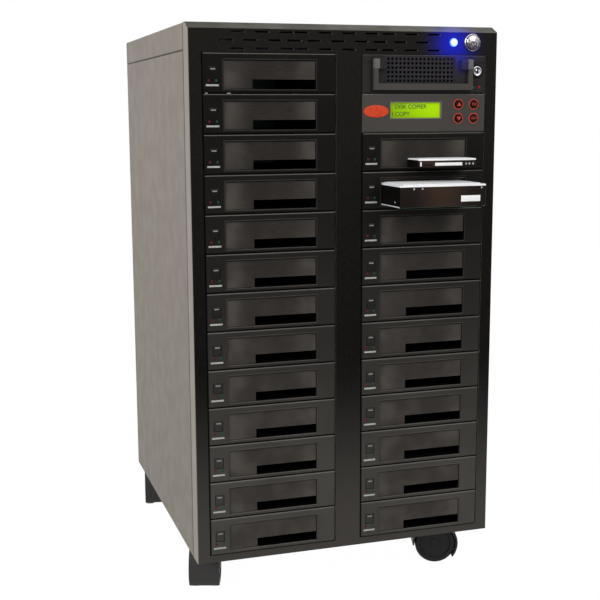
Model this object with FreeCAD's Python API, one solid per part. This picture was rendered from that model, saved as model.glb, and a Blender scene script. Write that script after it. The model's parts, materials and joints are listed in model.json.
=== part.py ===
import FreeCAD
import Part
import math
import os

# Tower drive duplicator: a steel case on four twin-wheel casters with two columns of
# thirteen drive bays.  Bay racks take a drive straight in through a sprung flap, the first
# bay on the right holds the keyed source drawer, and the second the display and its buttons.
# Frame: X to the right seen from the front, Y to the back, Z up, millimetres.  Everything
# is drawn with y = 0 on the case's front face and moved to the middle of the box at the end.

V = FreeCAD.Vector
X_AXIS = V(1, 0, 0)
Y_AXIS = V(0, 1, 0)
Z_AXIS = V(0, 0, 1)

# ---- case ------------------------------------------------------------------
CASE_W = 355.6
CASE_H = 592.2
CASE_D = 395.5
SHEET = 1.2
FLOOR_GAP = 60.0
BEND_R = 1.5
FRONT_RETURN = 22.0
SLOPE_RUN = 14.2
SLOPE_RISE = 7.1
COVER_FLANGE = 28.5
REAR_FLANGE = 12.0
SEAM = 0.5
OVERCUT = 1.0
BASE_Z = FLOOR_GAP
TOP_Z = BASE_Z + CASE_H
HALF_W = CASE_W / 2

# ---- drives standing part way in -------------------------------------------
DRIVE_REST = 0.3
LARGE_W = 101.6
LARGE_H = 26.1
LARGE_L = 147.0
LARGE_OUT = 55.0
LARGE_LID = 2.0
LARGE_EDGE = 2.4
LARGE_LID_INSET = 2.4
SMALL_W = 69.85
SMALL_H = 9.5
SMALL_L = 100.0
SMALL_OUT = 29.0
SMALL_SIDE = 0.35
SMALL_EDGE = 2.0
SMALL_LID = 1.0
SMALL_LID_INSET = 1.6

# ---- drive bays ------------------------------------------------------------
# As many rows as the height holds under the top strip; the width that both columns leave
# over goes to the middle post and, in equal parts, to the two sides.
BAY_PITCH = 42.5
BAY_W = 149.0
BAY_BOTTOM = 8.0
TOP_STRIP = 31.0
POST_EXTRA = 0.8
WALL_GAP = 1.0
WALL_TOP = 3.0
BAY_ROWS = int((CASE_H - BAY_BOTTOM - TOP_STRIP) / BAY_PITCH)
SPARE_W = CASE_W - 2 * BAY_W
COLUMN_GAP = SPARE_W / 2 + POST_EXTRA
BAY_MARGIN = (SPARE_W - COLUMN_GAP) / 2
WALL_FLANGE = BAY_MARGIN - 2 * SHEET - WALL_GAP
LEFT_X = -(COLUMN_GAP + BAY_W) / 2
RIGHT_X = -LEFT_X
SOURCE_ROW = 1
CONTROL_ROW = 2
SMALL_DRIVE_ROW = 3
LARGE_DRIVE_ROW = 4

# ---- rack for one target drive ---------------------------------------------
BEZEL_SIDE_GAP = 1.0
BEZEL_ROW_GAP = 1.3
BEZEL_W = BAY_W - 2 * BEZEL_SIDE_GAP
BEZEL_H = BAY_PITCH - BEZEL_ROW_GAP
BEZEL_D = 12.0
BEZEL_PROUD = 1.0
BEZEL_CHAMFER = 0.9
LARGE_PLAY = 0.5
LARGE_HEADROOM = 4.2
SLOT_PLAY = 0.4
DOOR_W = LARGE_W + 2 * LARGE_PLAY
DOOR_H = DRIVE_REST + LARGE_H + LARGE_HEADROOM
DOOR_UP = 3.7
FLAP_T = 2.0
FLAP_GAP = 0.6
SLOT_W = SMALL_SIDE + SMALL_W + SLOT_PLAY
SLOT_H = DRIVE_REST + SMALL_H + FLAP_GAP
FLAP_SET_BACK = 1.2
HINGE_DROP = 1.6
PIN_GRIP = 1.5
PIN_PLAY = 0.05
PIN_SIDES = 6
HOLD_OPEN_ANGLE = 90.0
KEY_X = 10.9
KEY_UP = 21.4
KEY_W = 9.4
KEY_H = 10.9
KEY_PROUD = 0.6
KEY_PLAY = 0.3
RACK_END = 158.0
FLOOR_T = 1.0
RAIL_PLAY = 0.3
RAIL_DROP = 0.6
RAIL_H = DOOR_H - RAIL_DROP
BOARD_T = 1.6
BOARD_ROW_GAP = 0.6
BOARD_H = BAY_PITCH - BOARD_ROW_GAP
BOARD_EDGE = 1.0
PLUG_W = 42.0
PLUG_H = 6.0
PLUG_D = 7.0
PLUG_INSET = 5.0

# ---- source drawer ---------------------------------------------------------
SOURCE_SIDE_GAP = 0.7
SOURCE_ROW_GAP = 1.1
SOURCE_W = BAY_W - 2 * SOURCE_SIDE_GAP
SOURCE_H = BAY_PITCH - SOURCE_ROW_GAP
SOURCE_WALL = 1.4
SOURCE_LEFT = 10.0
SOURCE_RIGHT = 17.0
CORNER_PAD = 0.8
CORNER_H = 7.0
TRAY_PLAY = 0.4
TRAY_PROUD = 2.0
TRAY_FRONT = 5.0
TRAY_L = 150.0
TRAY_SIDE = 2.0
TRAY_SIDE_H = 28.0
TRAY_BACK_H = 12.0
GRILLE_W = 84.0
GRILLE_H = 30.0
GRILLE_T = 1.5
GRILLE_X = -6.0
GRILLE_UP = 25.0
GRILLE_SEAT = 2.5
HOLE_RIM = 0.65
HOLE_PITCH = 4.77
HOLE_COLS = int((GRILLE_W - 2 * HOLE_RIM) / HOLE_PITCH)
HOLE_ROWS = int((GRILLE_H - 2 * HOLE_RIM) / HOLE_PITCH)
HOLE_R = 1.45
HOLE_SIDES = 6
HANDLE_T = 6.0
HANDLE_GAP = 0.4
HANDLE_ARM = 5.0
HANDLE_BAR = 7.0
HANDLE_STEP = 1.0
HANDLE_LOW = 3.4
HANDLE_INSET = 0.8
HANDLE_END = 6.4
HANDLE_END_H = 7.0
HANDLE_SIDES = 12
PIVOT_DROP = 4.8
PIVOT_R = 1.5
PIVOT_GRIP = 4.0
LUG_W = 7.5
LUG_H = 11.0
LUG_GAP = 0.4
LOCK_IN = 10.9
LOCK_X = SOURCE_W / 2 - LOCK_IN
LOCK_UP = 24.1
LOCK_R = 5.9
LOCK_RING_R = 7.6
LOCK_RING_T = 0.9
LOCK_PROUD = 2.4
LOCK_L = 14.0
LOCK_PLAY = 0.08
LOCK_SIDES = 20
KEYHOLE_W = 1.6
KEYHOLE_H = 7.0
KEYHOLE_D = 3.0
SOURCE_LED_R = 1.6
SOURCE_LED_UP = 7.2
SOURCE_LED_INS = (15.2, 7.4)
SOURCE_LED_XS = [SOURCE_W / 2 - led_in for led_in in SOURCE_LED_INS]
SOURCE_LED_L = 4.0
SOURCE_LED_PROUD = 0.4
SOURCE_LED_SIDES = 8

# ---- display and its buttons -----------------------------------------------
PANEL_GAP = 0.5
PANEL_W = BAY_W - 2 * PANEL_GAP
PANEL_H = BAY_PITCH - PANEL_GAP
PANEL_T = 3.0
PANEL_PROUD = 1.5
PANEL_BEVEL = 1.2
EAR_L = 60.0
WINDOW_W = 60.4
WINDOW_H = 17.2
WINDOW_X = -10.7
WINDOW_UP = 24.3
WINDOW_BACK = 0.8
BUTTON_R = 4.7
BUTTON_PLAY = 0.2
BUTTON_PROUD = 2.2
BUTTON_L = 7.0
BUTTON_TRAVEL = 1.0
BUTTON_SIDES = 16
BUTTON_INS = (33.0, 14.0)
BUTTON_XS = [PANEL_W / 2 - button_in for button_in in BUTTON_INS]
BUTTON_UPS = (15.0, 30.5)
DISPLAY_BOARD_IN = 4.0
DISPLAY_BOARD_W = PANEL_W - 2 * DISPLAY_BOARD_IN
DISPLAY_BOARD_H = PANEL_H - 2 * DISPLAY_BOARD_IN
DISPLAY_BOARD_Y = 8.0
BOSS = 5.0

# ---- top strip -------------------------------------------------------------
VENT_L = 15.0
VENT_H = 1.9
VENT_PITCH = 26.8
VENT_ROW_PITCH = 8.6
VENT_TOP_DROP = 10.2
VENT_LAMP_GAP = 8.0
VENT_RUNS_OUTER = ((46.1, 3), (116.5, 4), (216.6, 3))
VENT_RUNS_MIDDLE = ((33.1, 3), (108.6, 1), (131.0, 3), (206.5, 1), (230.0, 2))
LAMP_IN = 54.3
LAMP_X = HALF_W - LAMP_IN
LAMP_DROP = 18.2
LAMP_R = 4.0
LAMP_PROUD = 1.6
LAMP_L = 9.0
POWER_IN = 31.1
POWER_X = HALF_W - POWER_IN
POWER_R = 8.0
POWER_RING_R = 9.8
POWER_RING_T = 1.6
POWER_BARREL_R = 8.8
POWER_BARREL_L = 14.0
POWER_CAP_PROUD = 4.6
POWER_DOME = 1.8
POWER_PLAY = 0.2
POWER_TRAVEL = 1.5
POWER_SPRING_L = 5.1
POWER_CAP_L = POWER_CAP_PROUD + POWER_BARREL_L - POWER_TRAVEL - POWER_SPRING_L
POWER_SIDES = 24
LAMP_SIDES = 12

# ---- back and inside -------------------------------------------------------
SUPPLY_W = 150.0
SUPPLY_H = 86.0
SUPPLY_L = 140.0
SUPPLY_DROP = 46.0
SUPPLY_LIP = 4.0
INLET_W = 28.0
INLET_H = 20.0
INLET_D = 15.0
INLET_INSET = 12.0
BLADE_W = 2.0
BLADE_H = 6.0
BLADE_L = 11.0
BLADE_STEP = 7.0
SUPPLY_VENTS = 7
SUPPLY_VENT_W = 62.0
SUPPLY_VENT_H = 4.0
SUPPLY_VENT_STEP = 9.0
SUPPLY_VENT_D = 2.0
FAN = 120.0
FAN_D = 25.0
FAN_WALL = 3.0
FAN_BORE_R = FAN / 2 - FAN_WALL
FAN_SIDES = 32
FAN_HUB_SIDES = 16
FAN_SHAFT_SIDES = 8
FAN_HUB_R = 20.0
FAN_SPIDER_T = 3.0
FAN_STRUT_W = 6.0
FAN_TIP_GAP = 1.5
FAN_SHAFT_R = 2.5
FAN_SHAFT_PLAY = 0.05
FAN_BLADES = 7
FAN_BLADE_T = 1.6
FAN_BLADE_CHORD = 22.0
FAN_BLADE_ANGLE = 38.0
FAN_ROTOR_D = 19.0
FAN_SIDE_GAP = 1.0
GUARD_STEP = 11.0
GUARD_SLOT_H = 5.0
GUARD_R = FAN_BORE_R - FAN_WALL
GUARD_SLOTS = int(2 * GUARD_R / GUARD_STEP)
AIR_ROWS = 5
AIR_STEP = 16.0
AIR_SLOT_H = 4.0
AIR_SLOT_W = 90.0
AIR_LOW = 150.0
BOARD_SIZE_X = 210.0
BOARD_SIZE_Y = 150.0
BOARD_FRONT = 205.0
POST_R = 3.5
POST_SIDES = 8
POST_H = 8.0
POST_INSET = 8.0
SINK_SIZE = 40.0
SINK_H = 18.0
SINK_FINS = 4
SINK_FIN_T = 2.0
SINK_BASE_H = 4.0
SOCKET_ROWS = 4
SOCKET_W = 16.0
SOCKET_D = 12.0
SOCKET_H = 9.0
SOCKET_STEP = 36.0
THUMB_R = 5.0
THUMB_L = 6.0
THUMB_SIDES = 8
SCREW_SIDES = 6
THUMB_END = 60.0
SCREW_R = 3.2
SCREW_T = 1.6
SCREW_GAP = 1.4
SIDE_PANEL_H = CASE_H - COVER_FLANGE - SEAM
THUMB_UPS = (THUMB_END, SIDE_PANEL_H / 2, SIDE_PANEL_H - THUMB_END)
BACK_HALF = HALF_W - REAR_FLANGE
SUPPLY_HALF = SUPPLY_W / 2 + 2 * SCREW_R
SUPPLY_X = BACK_HALF - SCREW_GAP - SUPPLY_HALF
FAN_X = (SUPPLY_X - SUPPLY_HALF - BACK_HALF) / 2

# ---- casters ---------------------------------------------------------------
WHEEL_R = 25.0
WHEEL_W = 12.6
WHEEL_SIDES = 24
AXLE_SIDES = 12
WHEEL_CHAMFER = 2.4
WEB_HALF = 4.2
WHEEL_GAP = 0.6
AXLE_R = 3.0
AXLE_PLAY = 0.05
TRAIL = 15.0
HOOD_IN_R = 26.2
HOOD_OUT_R = 28.2
HOOD_START_ANGLE = -5.0
HOOD_END_ANGLE = 125.0
WEB_R = 20.0
NECK_HALF = 9.0
NECK_Z = 51.2
FLANGE_R = 14.0
FLANGE_T = 3.0
FLANGE_SIDES = 16
FLANGE_GAP = 0.3
STEM_R = 5.0
STEM_UP = 8.0
STEM_PLAY = 0.05
STEM_SIDES = 10
CASTER_IN = 22.0
CASTER_FRONT = 66.0
CASTER_BACK = 28.0
CASTERS = (
    ("caster_front_left", -1, CASTER_FRONT, -17.5),
    ("caster_front_right", 1, CASTER_FRONT, 72.5),
    ("caster_back_left", -1, CASE_D - CASTER_BACK, -10.0),
    ("caster_back_right", 1, CASE_D - CASTER_BACK, 15.0),
)


def block(x0, x1, y0, y1, z0, z1):
    return Part.makeBox(x1 - x0, y1 - y0, z1 - z0, V(x0, y0, z0))


def centred(x, width, y0, y1, z, height):
    return block(x - width / 2, x + width / 2, y0, y1, z - height / 2, z + height / 2)


def side_prism(points, x0, x1):
    """A solid whose outline lies in the Y-Z plane, from x0 to x1."""
    corners = [V(x0, y, z) for y, z in points]
    wire = Part.makePolygon(corners + corners[:1])
    return Part.Face(wire).extrude(V(x1 - x0, 0, 0))


def ring_points(radius, sides):
    """Corners of a regular polygon, with a flat at the top and bottom."""
    step = 2 * math.pi / sides
    return [
        (radius * math.cos(step * (i + 0.5)), radius * math.sin(step * (i + 0.5)))
        for i in range(sides)
    ]


def faceted_rod(radius, length, start, axis, sides):
    """A regular prism for a round piece; its corners lie on the radius."""
    rows = ring_points(radius, sides)
    if axis == X_AXIS:
        corners = [start + V(0, a, b) for a, b in rows]
    elif axis == Y_AXIS:
        corners = [start + V(b, 0, a) for a, b in rows]
    else:
        corners = [start + V(a, b, 0) for a, b in rows]
    wire = Part.makePolygon(corners + corners[:1])
    return Part.Face(wire).extrude(axis * length)


def flatted_rod(radius, length, start, axis, sides):
    """A regular prism whose flats touch the radius: a hole round a rod, or a rolling wheel."""
    return faceted_rod(radius / math.cos(math.pi / sides), length, start, axis, sides)


def fused(shapes):
    return shapes[0].fuse(shapes[1:]).removeSplitter()


def group(shapes):
    return Part.makeCompound(shapes)


def bay_floor(row):
    """Height of the bottom of a bay, counted from the top row down."""
    return BASE_Z + BAY_BOTTOM + BAY_PITCH * (BAY_ROWS - row)


def bay_middle_bottom(row, height):
    return bay_floor(row) + (BAY_PITCH - height) / 2


TARGET_BAYS = [("l", LEFT_X, row) for row in range(1, BAY_ROWS + 1)]
TARGET_BAYS += [("r", RIGHT_X, row) for row in range(SMALL_DRIVE_ROW, BAY_ROWS + 1)]
HELD_BAYS = (("r", SMALL_DRIVE_ROW), ("r", LARGE_DRIVE_ROW))


# ---- case ------------------------------------------------------------------
def front_profile(inset, y_end):
    """Side outline of the front cover, set in by a sheet's thickness."""
    rise = SLOPE_RISE / SLOPE_RUN
    drop = inset * math.sqrt(1 + rise * rise)
    shoulder = TOP_Z - SLOPE_RISE + rise * inset - drop
    crest = (SLOPE_RISE - inset + drop) / rise
    return [
        (inset, BASE_Z + inset),
        (inset, shoulder),
        (crest, TOP_Z - inset),
        (y_end, TOP_Z - inset),
        (y_end, BASE_Z + inset),
    ]


def front_panel():
    shell = side_prism(front_profile(0.0, FRONT_RETURN), -HALF_W, HALF_W)
    upright = [
        e for e in shell.Edges
        if abs(e.CenterOfMass.y) < SHEET and e.BoundBox.ZLength > CASE_H / 2
    ]
    shell = shell.makeFillet(BEND_R, upright)
    hollow = side_prism(
        front_profile(SHEET, FRONT_RETURN + SHEET), -HALF_W + SHEET, HALF_W - SHEET
    )
    cuts = [hollow]
    low = BASE_Z + BAY_BOTTOM
    high = low + BAY_PITCH * BAY_ROWS
    for x in (LEFT_X, RIGHT_X):
        cuts.append(block(x - BAY_W / 2, x + BAY_W / 2, -SHEET, 2 * SHEET, low, high))
    top_row = TOP_Z - VENT_TOP_DROP
    for line, runs in enumerate((VENT_RUNS_OUTER, VENT_RUNS_MIDDLE, VENT_RUNS_OUTER)):
        z = top_row - VENT_ROW_PITCH * line
        for start, count in runs:
            for i in range(count):
                x = -HALF_W + start + VENT_PITCH * i + VENT_L / 2
                if x + VENT_L / 2 < LAMP_X - LAMP_R - VENT_LAMP_GAP:
                    cuts.append(centred(x, VENT_L, -SHEET, 2 * SHEET, z, VENT_H))
    lamp_z = TOP_Z - LAMP_DROP
    for x, radius in ((LAMP_X, LAMP_R), (POWER_X, POWER_BARREL_R)):
        start = V(x, -SHEET, lamp_z)
        cuts.append(flatted_rod(radius + POWER_PLAY, 3 * SHEET, start, Y_AXIS, POWER_SIDES))
    return shell.cut(cuts)


def chassis_pan():
    """Floor and back of the case, folded from one sheet."""
    inner = HALF_W - SHEET
    back_in = CASE_D - 2 * SHEET
    floor = block(-inner, inner, FRONT_RETURN, CASE_D - SHEET, BASE_Z, BASE_Z + SHEET)
    back = block(-inner, inner, back_in, CASE_D - SHEET, BASE_Z, TOP_Z - SHEET)
    pan = fused([floor, back])
    y0 = back_in - SHEET
    y1 = CASE_D + SHEET
    cuts = [
        centred(
            SUPPLY_X, SUPPLY_W - 2 * SUPPLY_LIP, y0, y1,
            supply_middle(), SUPPLY_H - 2 * SUPPLY_LIP,
        )
    ]
    for i in range(GUARD_SLOTS):
        off = GUARD_STEP * (i - (GUARD_SLOTS - 1) / 2)
        width = 2 * math.sqrt(GUARD_R * GUARD_R - off * off)
        cuts.append(centred(FAN_X, width, y0, y1, supply_middle() + off, GUARD_SLOT_H))
    for x in (FAN_X, SUPPLY_X):
        for i in range(AIR_ROWS):
            z = BASE_Z + AIR_LOW + AIR_STEP * i
            cuts.append(centred(x, AIR_SLOT_W, y0, y1, z, AIR_SLOT_H))
    for name, side, y, turn in CASTERS:
        x = side * (HALF_W - CASTER_IN)
        cuts.append(
            flatted_rod(STEM_R + STEM_PLAY, 3 * SHEET, V(x, y, BASE_Z - SHEET), Z_AXIS, STEM_SIDES)
        )
    return pan.cut(cuts)


def top_cover():
    z0 = TOP_Z - COVER_FLANGE
    shell = block(-HALF_W, HALF_W, FRONT_RETURN + SEAM, CASE_D, z0, TOP_Z)
    long_edges = [
        e for e in shell.Edges
        if e.BoundBox.YLength > CASE_D / 2 and abs(e.CenterOfMass.z - TOP_Z) < SHEET
    ]
    shell = shell.makeFillet(BEND_R, long_edges)
    hollow = block(
        -HALF_W + SHEET, HALF_W - SHEET, FRONT_RETURN, CASE_D - SHEET, z0 - SHEET, TOP_Z - SHEET
    )
    return shell.cut(hollow)


def side_panel(side):
    top = BASE_Z + SIDE_PANEL_H
    outer = side * HALF_W
    inner = side * (HALF_W - SHEET)
    lip = side * (HALF_W - REAR_FLANGE)
    plate = block(
        min(outer, inner), max(outer, inner), FRONT_RETURN + SEAM, CASE_D, BASE_Z, top
    )
    flange = block(
        min(outer, lip), max(outer, lip), CASE_D - SHEET, CASE_D, BASE_Z, top
    )
    return fused([plate, flange])


def bay_walls():
    """Four upright plates that the racks are screwed to, flanged onto the front."""
    low = BASE_Z + SHEET
    high = BASE_Z + BAY_BOTTOM + BAY_PITCH * BAY_ROWS + WALL_TOP
    plates = []
    for x in (LEFT_X, RIGHT_X):
        for side in (-1, 1):
            face = x + side * BAY_W / 2
            outer = face + side * SHEET
            lip = outer + side * WALL_FLANGE
            plate = block(min(face, outer), max(face, outer), SHEET, RACK_END, low, high)
            flange = block(min(face, lip), max(face, lip), SHEET, 2 * SHEET, low, high)
            plates.append(fused([plate, flange]))
    return group(plates)


# ---- racks -----------------------------------------------------------------
def door_left(x):
    return x - DOOR_W / 2


def door_bottom(row):
    return bay_middle_bottom(row, BEZEL_H) + DOOR_UP


def hinge_line(row):
    """Height and depth of the flap's hinge."""
    z = door_bottom(row) + DOOR_H - HINGE_DROP
    y = -BEZEL_PROUD + FLAP_SET_BACK + FLAP_T / 2
    return y, z


def rack_bezel(x, row):
    z0 = bay_middle_bottom(row, BEZEL_H)
    x0 = x - BEZEL_W / 2
    y_back = BEZEL_D - BEZEL_PROUD
    body = block(x0, x0 + BEZEL_W, -BEZEL_PROUD, y_back, z0, z0 + BEZEL_H)
    front = [e for e in body.Edges if e.BoundBox.YMax < -BEZEL_PROUD / 2]
    body = body.makeChamfer(BEZEL_CHAMFER, front)
    left = door_left(x)
    low = door_bottom(row)
    through = (-2 * BEZEL_PROUD, BEZEL_D)
    cuts = [block(left, left + DOOR_W, through[0], through[1], low, low + DOOR_H)]
    cuts.append(
        centred(x0 + KEY_X, KEY_W + 2 * KEY_PLAY, through[0], through[1],
                z0 + KEY_UP, KEY_H + 2 * KEY_PLAY)
    )
    y_pin, z_pin = hinge_line(row)
    reach = FLAP_T / 2 + PIN_PLAY
    cuts.append(
        block(left - PIN_GRIP, left + DOOR_W + PIN_GRIP, y_pin - reach, y_back + OVERCUT,
              z_pin - reach, z_pin + reach)
    )
    return body.cut(cuts)


def rack_flap(x, row, opened=0.0):
    """Sprung door of a rack with the cut-out that takes a small drive."""
    y_pin, z_pin = hinge_line(row)
    left = door_left(x) + FLAP_GAP
    right = door_left(x) + DOOR_W - FLAP_GAP
    low = door_bottom(row) + FLAP_GAP
    y0 = y_pin - FLAP_T / 2
    y1 = y_pin + FLAP_T / 2
    plate = block(left, right, y0, y1, low, z_pin)
    notch = block(
        door_left(x) + DOOR_W - SLOT_W, right + FLAP_GAP, y0 - FLAP_T, y1 + FLAP_T,
        low - FLAP_GAP, door_bottom(row) + SLOT_H,
    )
    pin_reach = FLAP_GAP + PIN_GRIP - FLAP_GAP / 2
    pin = faceted_rod(
        FLAP_T / 2, right - left + 2 * pin_reach, V(left - pin_reach, y_pin, z_pin),
        X_AXIS, PIN_SIDES,
    )
    flap = fused([plate.cut(notch), pin])
    if opened:
        flap.rotate(V(x, y_pin, z_pin), X_AXIS, opened)
    return flap


def rack_button(x, row):
    z0 = bay_middle_bottom(row, BEZEL_H)
    return centred(
        x - BEZEL_W / 2 + KEY_X, KEY_W, -BEZEL_PROUD - KEY_PROUD, BEZEL_D - BEZEL_PROUD,
        z0 + KEY_UP, KEY_H,
    )


def rack_housing(x, row):
    """Floor plate and the two guide rails that steer the drive to its plug."""
    low = door_bottom(row)
    y0 = BEZEL_D - BEZEL_PROUD
    outer = BAY_W / 2 - RAIL_PLAY
    floor = block(x - outer, x + outer, y0, RACK_END, low - FLOOR_T, low)
    rails = []
    for side in (-1, 1):
        edges = sorted((x + side * DOOR_W / 2, x + side * outer))
        rails.append(block(edges[0], edges[1], y0, RACK_END, low, low + RAIL_H))
    return [floor] + rails


def rack_board(x, row):
    low = door_bottom(row)
    half = BAY_W / 2 - RAIL_PLAY - BOARD_EDGE
    board = block(
        x - half, x + half, RACK_END, RACK_END + BOARD_T, low - FLOOR_T, low - FLOOR_T + BOARD_H
    )
    right = x + DOOR_W / 2 - PLUG_INSET
    plug = block(right - PLUG_W, right, RACK_END - PLUG_D, RACK_END, low, low + PLUG_H)
    return [board, plug]


# ---- drives ----------------------------------------------------------------
def disk_drive(x0, y0, z0, size, edge, lid, inset):
    """A cast box with a pressed lid and a groove along each side."""
    width, length, height = size
    body = block(x0, x0 + width, y0, y0 + length, z0, z0 + height - lid)
    corners = [e for e in body.Edges if e.BoundBox.ZLength > height / 2]
    body = body.makeChamfer(edge, corners)
    cover = block(
        x0 + inset, x0 + width - inset, y0 + inset, y0 + length - inset,
        z0 + height - lid, z0 + height,
    )
    corners = [e for e in cover.Edges if e.BoundBox.ZLength > lid / 2]
    cover = cover.makeChamfer(edge, corners)
    return fused([body, cover])


def large_drive():
    x0 = RIGHT_X - LARGE_W / 2
    z0 = door_bottom(LARGE_DRIVE_ROW) + DRIVE_REST
    size = (LARGE_W, LARGE_L, LARGE_H)
    return disk_drive(x0, -LARGE_OUT, z0, size, LARGE_EDGE, LARGE_LID, LARGE_LID_INSET)


def small_drive():
    x0 = RIGHT_X + DOOR_W / 2 - SMALL_SIDE - SMALL_W
    z0 = door_bottom(SMALL_DRIVE_ROW) + DRIVE_REST
    size = (SMALL_W, SMALL_L, SMALL_H)
    return disk_drive(x0, -SMALL_OUT, z0, size, SMALL_EDGE, SMALL_LID, SMALL_LID_INSET)


# ---- source drawer ---------------------------------------------------------
SOURCE_Z = bay_middle_bottom(SOURCE_ROW, SOURCE_H)
SOURCE_X0 = RIGHT_X - SOURCE_W / 2
SOURCE_X1 = RIGHT_X + SOURCE_W / 2
TRAY_X0 = SOURCE_X0 + SOURCE_LEFT + TRAY_PLAY
TRAY_X1 = SOURCE_X1 - SOURCE_RIGHT - TRAY_PLAY
TRAY_Z0 = SOURCE_Z + SOURCE_WALL + TRAY_PLAY
TRAY_Z1 = SOURCE_Z + SOURCE_H - SOURCE_WALL - TRAY_PLAY
PIVOT_Y = -TRAY_PROUD - HANDLE_GAP - HANDLE_T / 2
PIVOT_Z = SOURCE_Z + SOURCE_H - PIVOT_DROP - HANDLE_T / 2


def source_frame():
    body = block(SOURCE_X0, SOURCE_X1, -BEZEL_PROUD, RACK_END, SOURCE_Z, SOURCE_Z + SOURCE_H)
    front = [e for e in body.Edges if e.BoundBox.YMax < -BEZEL_PROUD / 2]
    body = body.makeChamfer(BEZEL_CHAMFER, front)
    tunnel = block(
        SOURCE_X0 + SOURCE_LEFT, SOURCE_X1 - SOURCE_RIGHT, -BEZEL_D, RACK_END + BEZEL_D,
        SOURCE_Z + SOURCE_WALL, SOURCE_Z + SOURCE_H - SOURCE_WALL,
    )
    top = SOURCE_Z + SOURCE_H - BEZEL_CHAMFER
    pads = [
        block(x0, x1, -BEZEL_PROUD - CORNER_PAD, 0, top - CORNER_H, top)
        for x0, x1 in (
            (SOURCE_X0 + BEZEL_CHAMFER, SOURCE_X0 + SOURCE_LEFT),
            (SOURCE_X1 - SOURCE_RIGHT, SOURCE_X1 - BEZEL_CHAMFER),
        )
    ]
    lock = V(RIGHT_X + LOCK_X, -BEZEL_PROUD - LOCK_RING_T, SOURCE_Z + LOCK_UP)
    ring = faceted_rod(LOCK_RING_R, LOCK_RING_T + BEZEL_PROUD, lock, Y_AXIS, LOCK_SIDES)
    bore = flatted_rod(LOCK_R + LOCK_PLAY, LOCK_RING_T + LOCK_L, lock, Y_AXIS, LOCK_SIDES)
    led_z = SOURCE_Z + SOURCE_LED_UP
    led_holes = [
        faceted_rod(SOURCE_LED_R, SOURCE_LED_L, V(RIGHT_X + x, -BEZEL_PROUD, led_z),
                    Y_AXIS, SOURCE_LED_SIDES)
        for x in SOURCE_LED_XS
    ]
    return fused([body] + pads + [ring]).cut([tunnel, bore] + led_holes)


def source_tray():
    """Drawer front with its floor, sides and low back in one moulding."""
    y_front = -TRAY_PROUD
    y_face = y_front + TRAY_FRONT
    y_back = y_front + TRAY_L
    face = block(TRAY_X0, TRAY_X1, y_front, y_face, TRAY_Z0, TRAY_Z1)
    floor = block(TRAY_X0, TRAY_X1, y_face, y_back, TRAY_Z0, TRAY_Z0 + TRAY_SIDE)
    sides = [
        block(x, x + TRAY_SIDE, y_face, y_back, TRAY_Z0, TRAY_Z0 + TRAY_SIDE_H)
        for x in (TRAY_X0, TRAY_X1 - TRAY_SIDE)
    ]
    back = block(TRAY_X0, TRAY_X1, y_back - TRAY_SIDE, y_back, TRAY_Z0, TRAY_Z0 + TRAY_BACK_H)
    lugs = [
        block(x, x + LUG_W, PIVOT_Y - HANDLE_T / 2, y_front,
              PIVOT_Z + HANDLE_T / 2 - LUG_H, PIVOT_Z + HANDLE_T / 2)
        for x in (
            HANDLE_X0 + HANDLE_END + LUG_GAP,
            HANDLE_X1 - HANDLE_END - LUG_GAP - LUG_W,
        )
    ]
    seat = centred(
        RIGHT_X + GRILLE_X, GRILLE_W, y_front - OVERCUT, y_front + GRILLE_T,
        SOURCE_Z + GRILLE_UP, GRILLE_H,
    )
    light = centred(
        RIGHT_X + GRILLE_X, GRILLE_W - 2 * GRILLE_SEAT, y_front, y_face + OVERCUT,
        SOURCE_Z + GRILLE_UP, GRILLE_H - 2 * GRILLE_SEAT,
    )
    bores = flatted_rod(
        PIVOT_R + PIN_PLAY, HANDLE_X1 - HANDLE_X0, V(HANDLE_X0, PIVOT_Y, PIVOT_Z), X_AXIS,
        HANDLE_SIDES,
    )
    return fused([face, floor, back] + sides + lugs).cut([seat, light, bores])


def source_grille():
    """Perforated plate let into the drawer front."""
    y0 = -TRAY_PROUD
    z = SOURCE_Z + GRILLE_UP
    plate = centred(RIGHT_X + GRILLE_X, GRILLE_W, y0, y0 + GRILLE_T, z, GRILLE_H)
    holes = []
    for i in range(HOLE_COLS):
        for j in range(HOLE_ROWS):
            hole_x = RIGHT_X + GRILLE_X + HOLE_PITCH * (i - (HOLE_COLS - 1) / 2)
            hole_z = z + HOLE_PITCH * (j - (HOLE_ROWS - 1) / 2)
            start = V(hole_x, y0 - GRILLE_T, hole_z)
            holes.append(faceted_rod(HOLE_R, 3 * GRILLE_T, start, Y_AXIS, HOLE_SIDES))
    return plate.cut(holes)


HANDLE_X0 = TRAY_X0 + HANDLE_INSET
HANDLE_X1 = TRAY_X1 - HANDLE_INSET


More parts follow.
